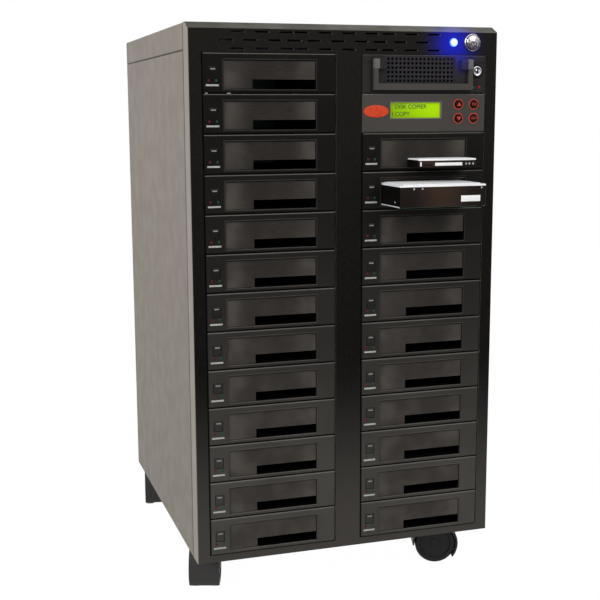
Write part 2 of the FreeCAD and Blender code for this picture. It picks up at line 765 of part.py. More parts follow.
def source_handle():
    """Drop handle with thick pivoted ends, hanging in front of the drawer."""
    y0 = PIVOT_Y - HANDLE_T / 2
    y1 = PIVOT_Y + HANDLE_T / 2
    arm_y1 = y1 - HANDLE_GAP
    low = SOURCE_Z + HANDLE_LOW
    bar = block(HANDLE_X0, HANDLE_X1, y0 + HANDLE_STEP, arm_y1, low, low + HANDLE_BAR)
    pieces = [bar]
    for x, end_x in (
        (HANDLE_X0, HANDLE_X0),
        (HANDLE_X1 - HANDLE_ARM, HANDLE_X1 - HANDLE_END),
    ):
        pieces.append(block(x, x + HANDLE_ARM, y0 + HANDLE_STEP, arm_y1, low, PIVOT_Z))
        pieces.append(
            block(end_x, end_x + HANDLE_END, y0, y1, PIVOT_Z - HANDLE_END_H, PIVOT_Z)
        )
        pieces.append(
            faceted_rod(HANDLE_T / 2, HANDLE_END, V(end_x, PIVOT_Y, PIVOT_Z), X_AXIS,
                        HANDLE_SIDES)
        )
    pin_l = PIVOT_GRIP + LUG_GAP
    for pin_x in (HANDLE_X0 + HANDLE_END, HANDLE_X1 - HANDLE_END - pin_l):
        start = V(pin_x, PIVOT_Y, PIVOT_Z)
        pieces.append(faceted_rod(PIVOT_R, pin_l, start, X_AXIS, HANDLE_SIDES))
    return fused(pieces)


def source_board():
    """Plug board that closes the back of the drawer's housing."""
    y1 = RACK_END + BOARD_T
    board = block(SOURCE_X0, SOURCE_X1, RACK_END, y1, SOURCE_Z, SOURCE_Z + BOARD_H)
    right = TRAY_X1 - SOURCE_LEFT
    plug = block(
        right - PLUG_W, right, TRAY_L - TRAY_PROUD + TRAY_PLAY, RACK_END,
        TRAY_Z0 + TRAY_SIDE, TRAY_Z0 + TRAY_SIDE + PLUG_H,
    )
    return fused([board, plug])


def source_lock():
    start = V(RIGHT_X + LOCK_X, -BEZEL_PROUD - LOCK_PROUD, SOURCE_Z + LOCK_UP)
    plug = faceted_rod(LOCK_R, LOCK_L, start, Y_AXIS, LOCK_SIDES)
    keyhole = centred(
        start.x, KEYHOLE_W, start.y - OVERCUT, start.y + KEYHOLE_D, start.z, KEYHOLE_H
    )
    return plug.cut(keyhole)


# ---- display ---------------------------------------------------------------
PANEL_Z = bay_middle_bottom(CONTROL_ROW, PANEL_H)


def button_places():
    return [
        (name, RIGHT_X + x, PANEL_Z + up)
        for name, x, up in (
            ("panel_button_up", BUTTON_XS[0], BUTTON_UPS[1]),
            ("panel_button_escape", BUTTON_XS[1], BUTTON_UPS[1]),
            ("panel_button_down", BUTTON_XS[0], BUTTON_UPS[0]),
            ("panel_button_enter", BUTTON_XS[1], BUTTON_UPS[0]),
        )
    ]


def control_panel():
    y0 = -PANEL_PROUD
    y1 = y0 + PANEL_T
    x0 = RIGHT_X - PANEL_W / 2
    plate = block(x0, x0 + PANEL_W, y0, y1, PANEL_Z, PANEL_Z + PANEL_H)
    front = [e for e in plate.Edges if e.BoundBox.YMax < y0 + SHEET / 2]
    plate = plate.makeChamfer(PANEL_BEVEL, front)
    ears = [
        block(x, x + SHEET, y1, EAR_L, PANEL_Z + BOSS, PANEL_Z + PANEL_H - BOSS)
        for x in (x0, x0 + PANEL_W - SHEET)
    ]
    bosses = [
        centred(RIGHT_X + sx * (DISPLAY_BOARD_W - BOSS) / 2, BOSS, y1, DISPLAY_BOARD_Y,
                PANEL_Z + PANEL_H / 2 + sz * (DISPLAY_BOARD_H - BOSS) / 2, BOSS)
        for sx in (-1, 1)
        for sz in (-1, 1)
    ]
    cuts = [
        centred(
            RIGHT_X + WINDOW_X, WINDOW_W, y0 - OVERCUT, y1 + OVERCUT, PANEL_Z + WINDOW_UP,
            WINDOW_H,
        )
    ]
    for name, x, z in button_places():
        start = V(x, y0 - OVERCUT, z)
        reach = PANEL_T + 2 * OVERCUT
        cuts.append(
            flatted_rod(BUTTON_R + BUTTON_PLAY, reach, start, Y_AXIS, BUTTON_SIDES)
        )
    return fused([plate] + ears + bosses).cut(cuts)


def panel_button(x, z):
    y0 = -PANEL_PROUD - BUTTON_PROUD
    return faceted_rod(BUTTON_R, BUTTON_L, V(x, y0, z), Y_AXIS, BUTTON_SIDES)


def display_board():
    """Board behind the display, with the display's own block and the four key switches."""
    y1 = DISPLAY_BOARD_Y + BOARD_T
    mid = PANEL_Z + PANEL_H / 2
    board = centred(RIGHT_X, DISPLAY_BOARD_W, DISPLAY_BOARD_Y, y1, mid, DISPLAY_BOARD_H)
    block_y = -PANEL_PROUD + PANEL_T + WINDOW_BACK
    display = centred(
        RIGHT_X + WINDOW_X, WINDOW_W + BOSS, block_y, DISPLAY_BOARD_Y, PANEL_Z + WINDOW_UP,
        WINDOW_H + BOSS,
    )
    switch_y = -PANEL_PROUD - BUTTON_PROUD + BUTTON_L + BUTTON_TRAVEL + BUTTON_PLAY
    switches = [
        centred(x, BOSS, switch_y, DISPLAY_BOARD_Y, z, BOSS) for name, x, z in button_places()
    ]
    return fused([board, display] + switches)


# ---- indicators ------------------------------------------------------------
def indicator_lenses():
    """Display glass, the case's lamp and the drawer's two lamps."""
    y_glass = -PANEL_PROUD + PANEL_T - WINDOW_BACK
    glass = centred(
        RIGHT_X + WINDOW_X, WINDOW_W, y_glass, y_glass + 2 * WINDOW_BACK,
        PANEL_Z + WINDOW_UP, WINDOW_H,
    )
    start = V(LAMP_X, -LAMP_PROUD, TOP_Z - LAMP_DROP)
    lamp = faceted_rod(LAMP_R, LAMP_L, start, Y_AXIS, LAMP_SIDES)
    lenses = [glass, lamp]
    for x in SOURCE_LED_XS:
        start = V(RIGHT_X + x, -BEZEL_PROUD - SOURCE_LED_PROUD, SOURCE_Z + SOURCE_LED_UP)
        length = SOURCE_LED_L + SOURCE_LED_PROUD
        lenses.append(faceted_rod(SOURCE_LED_R, length, start, Y_AXIS, SOURCE_LED_SIDES))
    return group(lenses)


# ---- power button ----------------------------------------------------------
def power_ring():
    z = TOP_Z - LAMP_DROP
    front = V(POWER_X, -POWER_RING_T, z)
    reach = POWER_RING_T + POWER_BARREL_L
    flange = faceted_rod(POWER_RING_R, POWER_RING_T, front, Y_AXIS, POWER_SIDES)
    barrel = faceted_rod(POWER_BARREL_R, reach + SHEET, front, Y_AXIS, POWER_SIDES)
    bore = flatted_rod(POWER_R + POWER_PLAY, reach, front, Y_AXIS, POWER_SIDES)
    return fused([flange, barrel]).cut(bore)


def power_button():
    z = TOP_Z - LAMP_DROP
    start = V(POWER_X, -POWER_CAP_PROUD, z)
    cap = faceted_rod(POWER_R, POWER_CAP_L, start, Y_AXIS, POWER_SIDES)
    rim = [e for e in cap.Edges if e.BoundBox.YMax < -POWER_CAP_PROUD + SHEET]
    return cap.makeChamfer(POWER_DOME, rim)


# ---- back ------------------------------------------------------------------
def supply_middle():
    return TOP_Z - SUPPLY_DROP - SUPPLY_H / 2


def power_supply():
    y1 = CASE_D - 2 * SHEET
    z = supply_middle()
    body = centred(SUPPLY_X, SUPPLY_W, y1 - SUPPLY_L, y1, z, SUPPLY_H)
    inlet_x = SUPPLY_X - SUPPLY_W / 2 + INLET_INSET + INLET_W / 2
    cuts = [centred(inlet_x, INLET_W, y1 - INLET_D, y1 + OVERCUT, z, INLET_H)]
    vent_x = SUPPLY_X + SUPPLY_W / 2 - INLET_INSET - SUPPLY_VENT_W / 2
    for i in range(SUPPLY_VENTS):
        vent_z = z + SUPPLY_VENT_STEP * (i - (SUPPLY_VENTS - 1) / 2)
        cuts.append(
            centred(vent_x, SUPPLY_VENT_W, y1 - SUPPLY_VENT_D, y1 + OVERCUT, vent_z,
                    SUPPLY_VENT_H)
        )
    blades = [
        centred(inlet_x + BLADE_STEP * i, BLADE_W, y1 - INLET_D, y1 - INLET_D + BLADE_L,
                z + up, BLADE_H)
        for i, up in ((-1, -BLADE_W), (0, BLADE_W), (1, -BLADE_W))
    ]
    return fused([body.cut(cuts)] + blades)


def fan_frame():
    y1 = CASE_D - 2 * SHEET
    y0 = y1 - FAN_D
    z = supply_middle()
    frame = centred(FAN_X, FAN, y0, y1, z, FAN)
    bore = flatted_rod(FAN_BORE_R, FAN_D, V(FAN_X, y0, z), Y_AXIS, FAN_SIDES)
    spider = [
        centred(FAN_X, FAN, y0, y0 + FAN_SPIDER_T, z, FAN_STRUT_W),
        centred(FAN_X, FAN_STRUT_W, y0, y0 + FAN_SPIDER_T, z, FAN),
        faceted_rod(FAN_HUB_R, FAN_SPIDER_T, V(FAN_X, y0, z), Y_AXIS, FAN_HUB_SIDES),
    ]
    shaft_hole = flatted_rod(
        FAN_SHAFT_R + FAN_SHAFT_PLAY, FAN_SPIDER_T, V(FAN_X, y0, z), Y_AXIS, FAN_SHAFT_SIDES
    )
    return fused([frame.cut(bore)] + spider).cut(shaft_hole)


def fan_rotor():
    y0 = CASE_D - 2 * SHEET - FAN_D + FAN_SPIDER_T + FAN_SIDE_GAP
    z = supply_middle()
    shaft_l = FAN_SPIDER_T + FAN_SIDE_GAP
    pieces = [
        faceted_rod(FAN_HUB_R, FAN_ROTOR_D, V(FAN_X, y0, z), Y_AXIS, FAN_HUB_SIDES),
        faceted_rod(FAN_SHAFT_R, shaft_l, V(FAN_X, y0 - shaft_l, z), Y_AXIS, FAN_SHAFT_SIDES),
    ]
    half = FAN_BLADE_CHORD / 2
    reach = math.sqrt((FAN_BORE_R - FAN_TIP_GAP) ** 2 - half * half)
    for i in range(FAN_BLADES):
        blade = block(-FAN_BLADE_T / 2, FAN_BLADE_T / 2, -half, half, FAN_HUB_R / 2, reach)
        blade.rotate(V(0, 0, 0), Z_AXIS, FAN_BLADE_ANGLE)
        blade.rotate(V(0, 0, 0), Y_AXIS, 360.0 * i / FAN_BLADES)
        blade.translate(V(FAN_X, y0 + FAN_ROTOR_D / 2, z))
        pieces.append(blade)
    return fused(pieces)


def controller_board():
    """Copy controller on posts, with its heat sink and rows of drive sockets."""
    x0 = -BOARD_SIZE_X / 2
    y0 = BOARD_FRONT
    z0 = BASE_Z + SHEET + POST_H
    z1 = z0 + BOARD_T
    pieces = [block(x0, x0 + BOARD_SIZE_X, y0, y0 + BOARD_SIZE_Y, z0, z1)]
    for x in (x0 + POST_INSET, x0 + BOARD_SIZE_X - POST_INSET):
        for y in (y0 + POST_INSET, y0 + BOARD_SIZE_Y - POST_INSET):
            pieces.append(
                faceted_rod(POST_R, POST_H, V(x, y, BASE_Z + SHEET), Z_AXIS, POST_SIDES)
            )
    sink_x = x0 + BOARD_SIZE_X / 2
    sink_y = y0 + BOARD_SIZE_Y / 2
    pieces.append(
        block(sink_x, sink_x + SINK_SIZE, sink_y, sink_y + SINK_SIZE, z1, z1 + SINK_BASE_H)
    )
    fin_step = (SINK_SIZE - SINK_FIN_T) / (SINK_FINS - 1)
    for i in range(SINK_FINS):
        fin_x = sink_x + fin_step * i
        pieces.append(
            block(fin_x, fin_x + SINK_FIN_T, sink_y, sink_y + SINK_SIZE, z1, z1 + SINK_H)
        )
    for i in range(SOCKET_ROWS):
        socket_x = x0 + 2 * POST_INSET + SOCKET_STEP * i
        pieces.append(
            block(socket_x, socket_x + SOCKET_W, y0 + POST_INSET, y0 + POST_INSET + SOCKET_D,
                  z1, z1 + SOCKET_H)
        )
    return fused(pieces)


def thumb_screw(x, z):
    return faceted_rod(THUMB_R, THUMB_L, V(x, CASE_D, z), Y_AXIS, THUMB_SIDES)


def screws():
    """Thumb screws that hold the covers, and the fan's and supply's screws."""
    pieces = []
    x = HALF_W - REAR_FLANGE / 2
    for side in (-1, 1):
        for up in THUMB_UPS:
            pieces.append(thumb_screw(side * x, BASE_Z + up))
        pieces.append(thumb_screw(side * HALF_W / 2, TOP_Z - COVER_FLANGE / 2))
    y = CASE_D - SHEET
    z = supply_middle()
    reach = FAN / 2 - SCREW_R - SHEET
    places = [(FAN_X + sx * reach, z + sz * reach) for sx in (-1, 1) for sz in (-1, 1)]
    lip_x = SUPPLY_W / 2 + SCREW_R
    lip_z = SUPPLY_H / 2 - SUPPLY_LIP
    places += [(SUPPLY_X + sx * lip_x, z + sz * lip_z) for sx in (-1, 1) for sz in (-1, 1)]
    for place_x, place_z in places:
        pieces.append(faceted_rod(SCREW_R, SCREW_T, V(place_x, y, place_z), Y_AXIS, SCREW_SIDES))
    return group(pieces)


# ---- casters ---------------------------------------------------------------
def arc_points(radius, start, end, steps):
    """Points of an arc about the axle, in the caster's own Y and Z."""
    span = math.radians(end - start)
    first = math.radians(start)
    return [
        (TRAIL + radius * math.cos(first + span * i / steps),
         WHEEL_R + radius * math.sin(first + span * i / steps))
        for i in range(steps + 1)
    ]


def hood_half_width():
    return WEB_HALF + WHEEL_GAP + WHEEL_W + WHEEL_GAP


def caster_housing():
    """Hood, web between the wheels, neck, bearing flange and stem."""
    steps = WHEEL_SIDES // 3
    outer = arc_points(HOOD_OUT_R, HOOD_START_ANGLE, HOOD_END_ANGLE, steps)
    inner = arc_points(HOOD_IN_R, HOOD_START_ANGLE, HOOD_END_ANGLE, steps)
    half = hood_half_width()
    hood = side_prism(outer + inner[::-1], -half, half)
    web = side_prism(outer + [(TRAIL, WHEEL_R)], -WEB_HALF, WEB_HALF)
    disc = faceted_rod(
        WEB_R, 2 * WEB_HALF, V(-WEB_HALF, TRAIL, WHEEL_R), X_AXIS, WHEEL_SIDES
    )
    top = FLOOR_GAP - FLANGE_GAP
    neck = block(-NECK_HALF, NECK_HALF, -NECK_HALF, NECK_HALF, NECK_Z, top - FLANGE_T)
    spine = block(-WEB_HALF, WEB_HALF, -NECK_HALF, TRAIL, WHEEL_R + WEB_R / 2, NECK_Z)
    flange = faceted_rod(
        FLANGE_R, FLANGE_T, V(0, 0, top - FLANGE_T), Z_AXIS, FLANGE_SIDES
    )
    stem = faceted_rod(STEM_R, STEM_UP + FLANGE_GAP, V(0, 0, top), Z_AXIS, STEM_SIDES)
    bore = flatted_rod(
        AXLE_R + AXLE_PLAY, 2 * half, V(-half, TRAIL, WHEEL_R), X_AXIS, AXLE_SIDES
    )
    return fused([hood, web, disc, neck, spine, flange, stem]).cut(bore)


def caster_wheels():
    """Two wheels pressed on one axle."""
    pieces = []
    for side in (-1, 1):
        near = side * (WEB_HALF + WHEEL_GAP)
        far = near + side * WHEEL_W
        x0 = min(near, far)
        wheel = flatted_rod(WHEEL_R, WHEEL_W, V(x0, TRAIL, WHEEL_R), X_AXIS, WHEEL_SIDES)
        rim = [e for e in wheel.Edges if abs(e.CenterOfMass.x - far) < WHEEL_GAP / 2
               and e.BoundBox.XLength < WHEEL_GAP]
        pieces.append(wheel.makeChamfer(WHEEL_CHAMFER, rim))
    reach = WEB_HALF + 2 * WHEEL_GAP
    pieces.append(
        faceted_rod(AXLE_R, 2 * reach, V(-reach, TRAIL, WHEEL_R), X_AXIS, AXLE_SIDES)
    )
    return fused(pieces)


def placed_caster(shape, side, y, turn):
    copy = shape.copy()
    copy.rotate(V(0, 0, 0), Z_AXIS, turn)
    copy.translate(V(side * (HALF_W - CASTER_IN), y, 0))
    return copy


# ---- all nodes -------------------------------------------------------------
def all_nodes():
    nodes = {
        "front_panel": front_panel(),
        "chassis_pan": chassis_pan(),
        "top_cover": top_cover(),
        "side_panel_left": side_panel(-1),
        "side_panel_right": side_panel(1),
        "bay_walls": bay_walls(),
        "rack_bezels": group([rack_bezel(x, row) for side, x, row in TARGET_BAYS]),
        "rack_buttons": group([rack_button(x, row) for side, x, row in TARGET_BAYS]),
        "rack_housings": group(
            [piece for side, x, row in TARGET_BAYS for piece in rack_housing(x, row)]
        ),
        "indicator_lenses": indicator_lenses(),
        "source_frame": source_frame(),
        "source_tray": source_tray(),
        "source_grille": source_grille(),
        "source_handle": source_handle(),
        "source_lock": source_lock(),
        "control_panel": control_panel(),
        "power_ring": power_ring(),
        "power_button": power_button(),
        "power_supply": power_supply(),
        "fan_frame": fan_frame(),
        "fan_rotor": fan_rotor(),
        "circuit_boards": group(
            [controller_board(), display_board(), source_board()]
            + [piece for side, x, row in TARGET_BAYS for piece in rack_board(x, row)]
        ),
        "screws": screws(),
        "drive_large": large_drive(),
        "drive_small": small_drive(),
    }
    held = []
    for side, x, row in TARGET_BAYS:
        if (side, row) in HELD_BAYS:
            opened = HOLD_OPEN_ANGLE if row == LARGE_DRIVE_ROW else 0.0
            held.append(rack_flap(x, row, opened))
        else:
            nodes["flap_%s%02d" % (side, row)] = rack_flap(x, row)
    nodes["flaps_held"] = group(held)
    for name, x, z in button_places():
        nodes[name] = panel_button(x, z)
    housing = caster_housing()
    wheels = caster_wheels()
    for name, side, y, turn in CASTERS:
        nodes[name + "_housing"] = placed_caster(housing, side, y, turn)
        nodes[name + "_wheels"] = placed_caster(wheels, side, y, turn)
    return nodes


def middle_shift(nodes):
    """How far back everything moves so that the origin is under the middle of the box."""
    box = group(list(nodes.values())).BoundBox
    return -(box.YMin + box.YMax) / 2


def main():
    os.makedirs("parts", exist_ok=True)
    nodes = all_nodes()
    shift = middle_shift(nodes)
    for name, shape in nodes.items():
        shape.translate(V(0, shift, 0))
        shape.exportStep("parts/" + name + ".step")


main()
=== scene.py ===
import json
import math

import bmesh
import bpy
from mathutils import Matrix, Vector


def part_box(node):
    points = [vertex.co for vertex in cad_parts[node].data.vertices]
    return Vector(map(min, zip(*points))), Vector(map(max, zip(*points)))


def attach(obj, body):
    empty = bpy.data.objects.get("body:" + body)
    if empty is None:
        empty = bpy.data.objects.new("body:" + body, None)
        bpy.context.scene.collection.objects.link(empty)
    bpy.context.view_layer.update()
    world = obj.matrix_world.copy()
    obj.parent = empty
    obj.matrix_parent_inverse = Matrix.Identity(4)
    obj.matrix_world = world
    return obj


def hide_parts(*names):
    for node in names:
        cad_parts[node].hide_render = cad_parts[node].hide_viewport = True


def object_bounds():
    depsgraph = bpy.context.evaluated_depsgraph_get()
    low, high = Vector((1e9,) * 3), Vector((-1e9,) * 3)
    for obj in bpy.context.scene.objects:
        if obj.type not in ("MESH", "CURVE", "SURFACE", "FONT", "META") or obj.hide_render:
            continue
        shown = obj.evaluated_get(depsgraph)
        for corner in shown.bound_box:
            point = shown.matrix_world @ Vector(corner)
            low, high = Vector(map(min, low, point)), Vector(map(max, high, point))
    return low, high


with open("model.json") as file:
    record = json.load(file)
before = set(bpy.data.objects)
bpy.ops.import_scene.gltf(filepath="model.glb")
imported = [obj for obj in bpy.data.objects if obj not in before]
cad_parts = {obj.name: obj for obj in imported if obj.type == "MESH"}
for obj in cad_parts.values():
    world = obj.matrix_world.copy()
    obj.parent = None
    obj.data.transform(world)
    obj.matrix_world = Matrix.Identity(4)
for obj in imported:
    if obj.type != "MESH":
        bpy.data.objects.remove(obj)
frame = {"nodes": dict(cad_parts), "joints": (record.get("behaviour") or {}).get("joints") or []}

# Looks of a tower drive duplicator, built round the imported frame.  Metres throughout, and MM
# turns the makers' millimetres into them.  Case places are counted from the front cover's
# lower left corner: x to the right, y to the back, z up.

MM = 0.001
CAD_LOW, CAD_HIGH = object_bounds()
NODES = frame["nodes"]
JOINTS = {joint["name"]: joint for joint in frame["joints"]}
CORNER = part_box("front_panel")[0]
COLUMN_X = (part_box("flap_r05")[0].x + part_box("flap_r05")[1].x) / 2
RIGHT = Vector((1, 0, 0))
BACK = Vector((0, 1, 0))
UP = Vector((0, 0, 1))


def at(x, y, z):
    """A place on the case, in millimetres from the front cover's lower left corner."""
    return CORNER + Vector((x, y, z)) * MM


def paint(red, green, blue):
    """A colour picked on a 0 to 255 screen scale, as the linear colour that shaders use."""
    linear = []
    for part in (red, green, blue):
        value = part / 255
        linear.append(value / 12.92 if value <= 0.04045 else ((value + 0.055) / 1.055) ** 2.4)
    return (*linear, 1.0)


# ---- finishes --------------------------------------------------------------
class Wire:
    """One output of a finish's node, on which sums and products add Math nodes."""

    def __init__(self, finish, socket):
        self.finish = finish
        self.socket = socket

    def maths(self, operation, first, second):
        return self.finish.maths(operation, first, second)

    def __add__(self, other):
        return self.maths("ADD", self, other)

    def __radd__(self, other):
        return self.maths("ADD", other, self)

    def __sub__(self, other):
        return self.maths("SUBTRACT", self, other)

    def __rsub__(self, other):
        return self.maths("SUBTRACT", other, self)

    def __mul__(self, other):
        return self.maths("MULTIPLY", self, other)

    def __rmul__(self, other):
        return self.maths("MULTIPLY", other, self)

    def __abs__(self):
        return self.maths("ABSOLUTE", self, 0.0)


class Finish:
    """The nodes of a material, or of the world, made one at a time."""

    def __init__(self, name, world=False):
        self.owner = (bpy.data.worlds if world else bpy.data.materials).new(name)
        self.output = "OutputWorld" if world else "OutputMaterial"
        self.owner.use_nodes = True
        self.tree = self.owner.node_tree
        self.tree.nodes.clear()

    def add(self, kind, settings=None, inputs=None, output=0):
        """One node: its type, its settings, then the values or wires of its sockets."""
        node = self.tree.nodes.new("ShaderNode" + kind)
        for key, value in (settings or {}).items():
            setattr(node, key, value)
        for key, value in (inputs or {}).items():
            if isinstance(value, Wire):
                self.tree.links.new(value.socket, node.inputs[key])
            else:
                node.inputs[key].default_value = value
        return Wire(self, node.outputs[output]) if node.outputs else None

    def maths(self, operation, first, second):
        return self.add("Math", {"operation": operation}, {0: first, 1: second})

    def most(self, first, second):
        return self.maths("MAXIMUM", first, second)

    def away(self, place, centre):
        """How far a place is from a centre, in metres."""
        return self.add("VectorMath", {"operation": "DISTANCE"}, {0: place, 1: centre[:]},
                        "Value")

    def ray(self, kind):
        """Whether a ray is of one kind, such as Camera."""
        return self.add("LightPath", output="Is " + kind + " Ray")

    def place(self, stretch=(1.0, 1.0, 1.0)):
        """Where a point is on the object, optionally stretched."""
        coords = self.add("TexCoord", output="Object")
        return self.add("VectorMath", {"operation": "MULTIPLY"}, {0: coords, 1: stretch})

    def along(self, axis):
        """How far a point is along X, Y or Z, in metres."""
        return self.add("SeparateXYZ", inputs={0: self.place()}, output=axis)

    def facing(self, axis):
        """How much a surface faces X, Y or Z."""
        normal = self.add("TexCoord", output="Normal")
        return self.add("SeparateXYZ", inputs={0: normal}, output=axis)

    def noise(self, scale, detail=2.0, stretch=(1.0, 1.0, 1.0)):
        return self.add("TexNoise", inputs={
            "Vector": self.place(stretch), "Scale": scale, "Detail": detail,
        })

    def ramp(self, value, low, high, out_low=0.0, out_high=1.0):
        """A smooth climb from one value to another as a wire goes from low to high."""
        return self.add(
            "MapRange", {"interpolation_type": "SMOOTHSTEP"},
            {"Value": value, "From Min": low, "From Max": high, "To Min": out_low,
             "To Max": out_high},
        )

    def tint(self, mask, first, second):
        """First colour where the mask is 0, second where it is 1."""
        return self.add("Mix", {"data_type": "RGBA"}, {0: mask, 6: first, 7: second}, 2)

    def bump(self, height, depth, strength):
        """Depth is in millimetres."""
        return self.add("Bump", inputs={
            "Height": height, "Distance": depth * MM, "Strength": strength,
        })

    def surface(self, inputs):
        """The one shader of the finish, with its constants and wires by socket name."""
        return self.finished(self.add("BsdfPrincipled", inputs=inputs))

    def finished(self, shader):
        self.add(self.output, inputs={"Surface": shader})
        return self.owner


WHITE = paint(255, 255, 255)
UNLIT = paint(0, 0, 0)
# Grain of the coats and mouldings, as scales of their noise.
PEEL = 900.0
PITS = 1500.0
# Patches of a moulding and wear of a metal, as shares of their own colour.
PATCH_SHADE = 0.75
WEAR_SHADE = 0.82
# Heights between which the light on the front grows towards the floor.
FRONT_LOW = at(0, 0, 0).z
FRONT_MIDDLE = at(0, 0, 230).z
FRONT_HIGH = at(0, 0, 590).z
# Seams between the folded covers, along which shade is painted, and the depths between which
# light fades in a bay, as painted shade.
SEAM_Y = at(0, 22.4, 0).y
SEAM_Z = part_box("side_panel_left")[1].z + 0.25 * MM
BAY_LIT = at(0, 0.0, 0).y
BAY_DARK = at(0, 1.6, 0).y
# Shaded gaps round the racks: the lowest bezel's edge, the rows' pitch, and a share of it.
ROWS_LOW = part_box("rack_bezels")[0].z
ROW_PITCH = 42.5 * MM
ROW_SHADE = 0.014
BEZEL_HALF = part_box("rack_bezels")[1].x - COLUMN_X
LAMP_PLACE = at(301.3, 0, 574.0)
LAMP_REACH = 56 * MM
GLOW_BLUE = paint(10, 30, 255)
# Left and right edges of the display's window, and how far print stands out.
WINDOW_LEFT = 226.3
WINDOW_RIGHT = 286.5
PRINT_PROUD = 0.12 * MM


def blue_glow(finish):
    """Light that the blue lamp throws on what is round it, strongest close by.

    It stays with the lamp when a piece moves away.
    """
    spot = finish.add("NewGeometry", output="Position")
    near = finish.ramp(finish.away(spot, LAMP_PLACE), 0.0, LAMP_REACH, 1.0, 0.0)
    return finish.tint(near * near * near, UNLIT, GLOW_BLUE)


def towards_floor(finish, top, bottom):
    """Painted light: a colour that goes from one shade at the top rows to one at the floor."""
    low = finish.ramp(finish.along("Z"), FRONT_LOW, FRONT_HIGH, 1.0, 0.0)
    return finish.tint(low * low, paint(*top), paint(*bottom))


def powder_coat_case():
    """Warm grey powder coat of the side panels and the top, with its fine orange peel, painted
    light that makes it lighter towards the top, and painted shade along its seams.
    """
    finish = Finish("powder_coat_case")
    # Painted light: the coat is lighter towards the top.
    high = finish.ramp(finish.along("Z"), FRONT_LOW, FRONT_HIGH)
    body = finish.tint(high, paint(131, 124, 114), paint(142, 133, 124))
    patches = finish.ramp(finish.noise(5.0, 3.0), 0.35, 0.7, 0.0, 0.12)
    colour = finish.tint(patches, body, paint(116, 108, 99))
    # Painted shade: dark bands behind the front cover's folded side and under the top cover's
    # edge.
    behind = finish.ramp(abs(finish.along("Y") - SEAM_Y), 1.6 * MM, 4.6 * MM, 0.9, 0.0)
    under = finish.ramp(abs(finish.along("Z") - SEAM_Z), 0.5 * MM, 1.6 * MM, 0.8, 0.0)
    colour = finish.tint(finish.most(behind, under), colour, paint(52, 46, 40))
    speckle = finish.noise(PEEL)
    return finish.surface({
        "Base Color": finish.tint(finish.ramp(speckle, 0.35, 0.75, 0.0, 0.16), colour,
                                  paint(98, 91, 84)),
        "Roughness": finish.ramp(finish.noise(40.0), 0.3, 0.7, 0.46, 0.58),
        "Specular IOR Level": 0.1,
        "Normal": finish.bump(speckle, 0.12, 0.5),
    })


def powder_coat_front():
    """Satin black front cover with painted light: lighter near the floor and towards the top,
    lit grey where it faces up, warm grey on its folded sides, and the blue lamp's glow.
    """
    finish = Finish("powder_coat_front")
    z = finish.along("Z")
    # Painted light: darkest halfway up, lighter near the floor and towards the top.
    low = finish.ramp(z, FRONT_LOW, FRONT_MIDDLE, 1.0, 0.0)
    high = finish.ramp(z, FRONT_MIDDLE, FRONT_HIGH)
    front = finish.tint(low, paint(10, 8, 7), paint(66, 63, 60))
    front = finish.tint(high, front, paint(22, 20, 17))
    # Painted light on faces that look up: a pale highlight where they turn partly up, a duller
    # lit grey where they face further up.
    up = finish.facing("Z")
    front = finish.tint(finish.ramp(up, 0.12, 0.3), front, paint(112, 106, 94))
    front = finish.tint(finish.ramp(up, 0.6, 0.85), front, paint(62, 59, 49))
    # Painted light: the folded sides, facing left and right, take a lit warm grey.
    side = finish.ramp(abs(finish.facing("X")), 0.35, 0.9)
    front = finish.tint(side, front, paint(156, 148, 139))
    speckle = finish.noise(PEEL)
    return finish.surface({
        "Base Color": finish.tint(finish.ramp(speckle, 0.4, 0.8, 0.0, 0.2), front,
                                  paint(60, 56, 50)),
        "Roughness": finish.ramp(finish.noise(35.0), 0.3, 0.7, 0.38, 0.5),
        "Specular IOR Level": 0.04,
        # Painted light: the blue lamp's glow, given off by the cover.
        "Emission Color": blue_glow(finish),
        "Emission Strength": 0.5,
        "Normal": finish.bump(speckle, 0.12, 0.5),
    })


def zinc_sheet():
    """Zinc-plated sheet with its faint rolled grain."""
    finish = Finish("zinc_sheet")
    grain = finish.noise(60.0, 3.0, (1.0, 1.0, 14.0))
    return finish.surface({
        "Base Color": finish.tint(finish.ramp(grain, 0.3, 0.7), paint(150, 152, 154),
                                  paint(176, 178, 180)),
        "Metallic": 0.85,
        "Roughness": finish.ramp(finish.noise(18.0), 0.3, 0.7, 0.34, 0.5),
        "Normal": finish.bump(grain, 0.08, 0.4),
    })


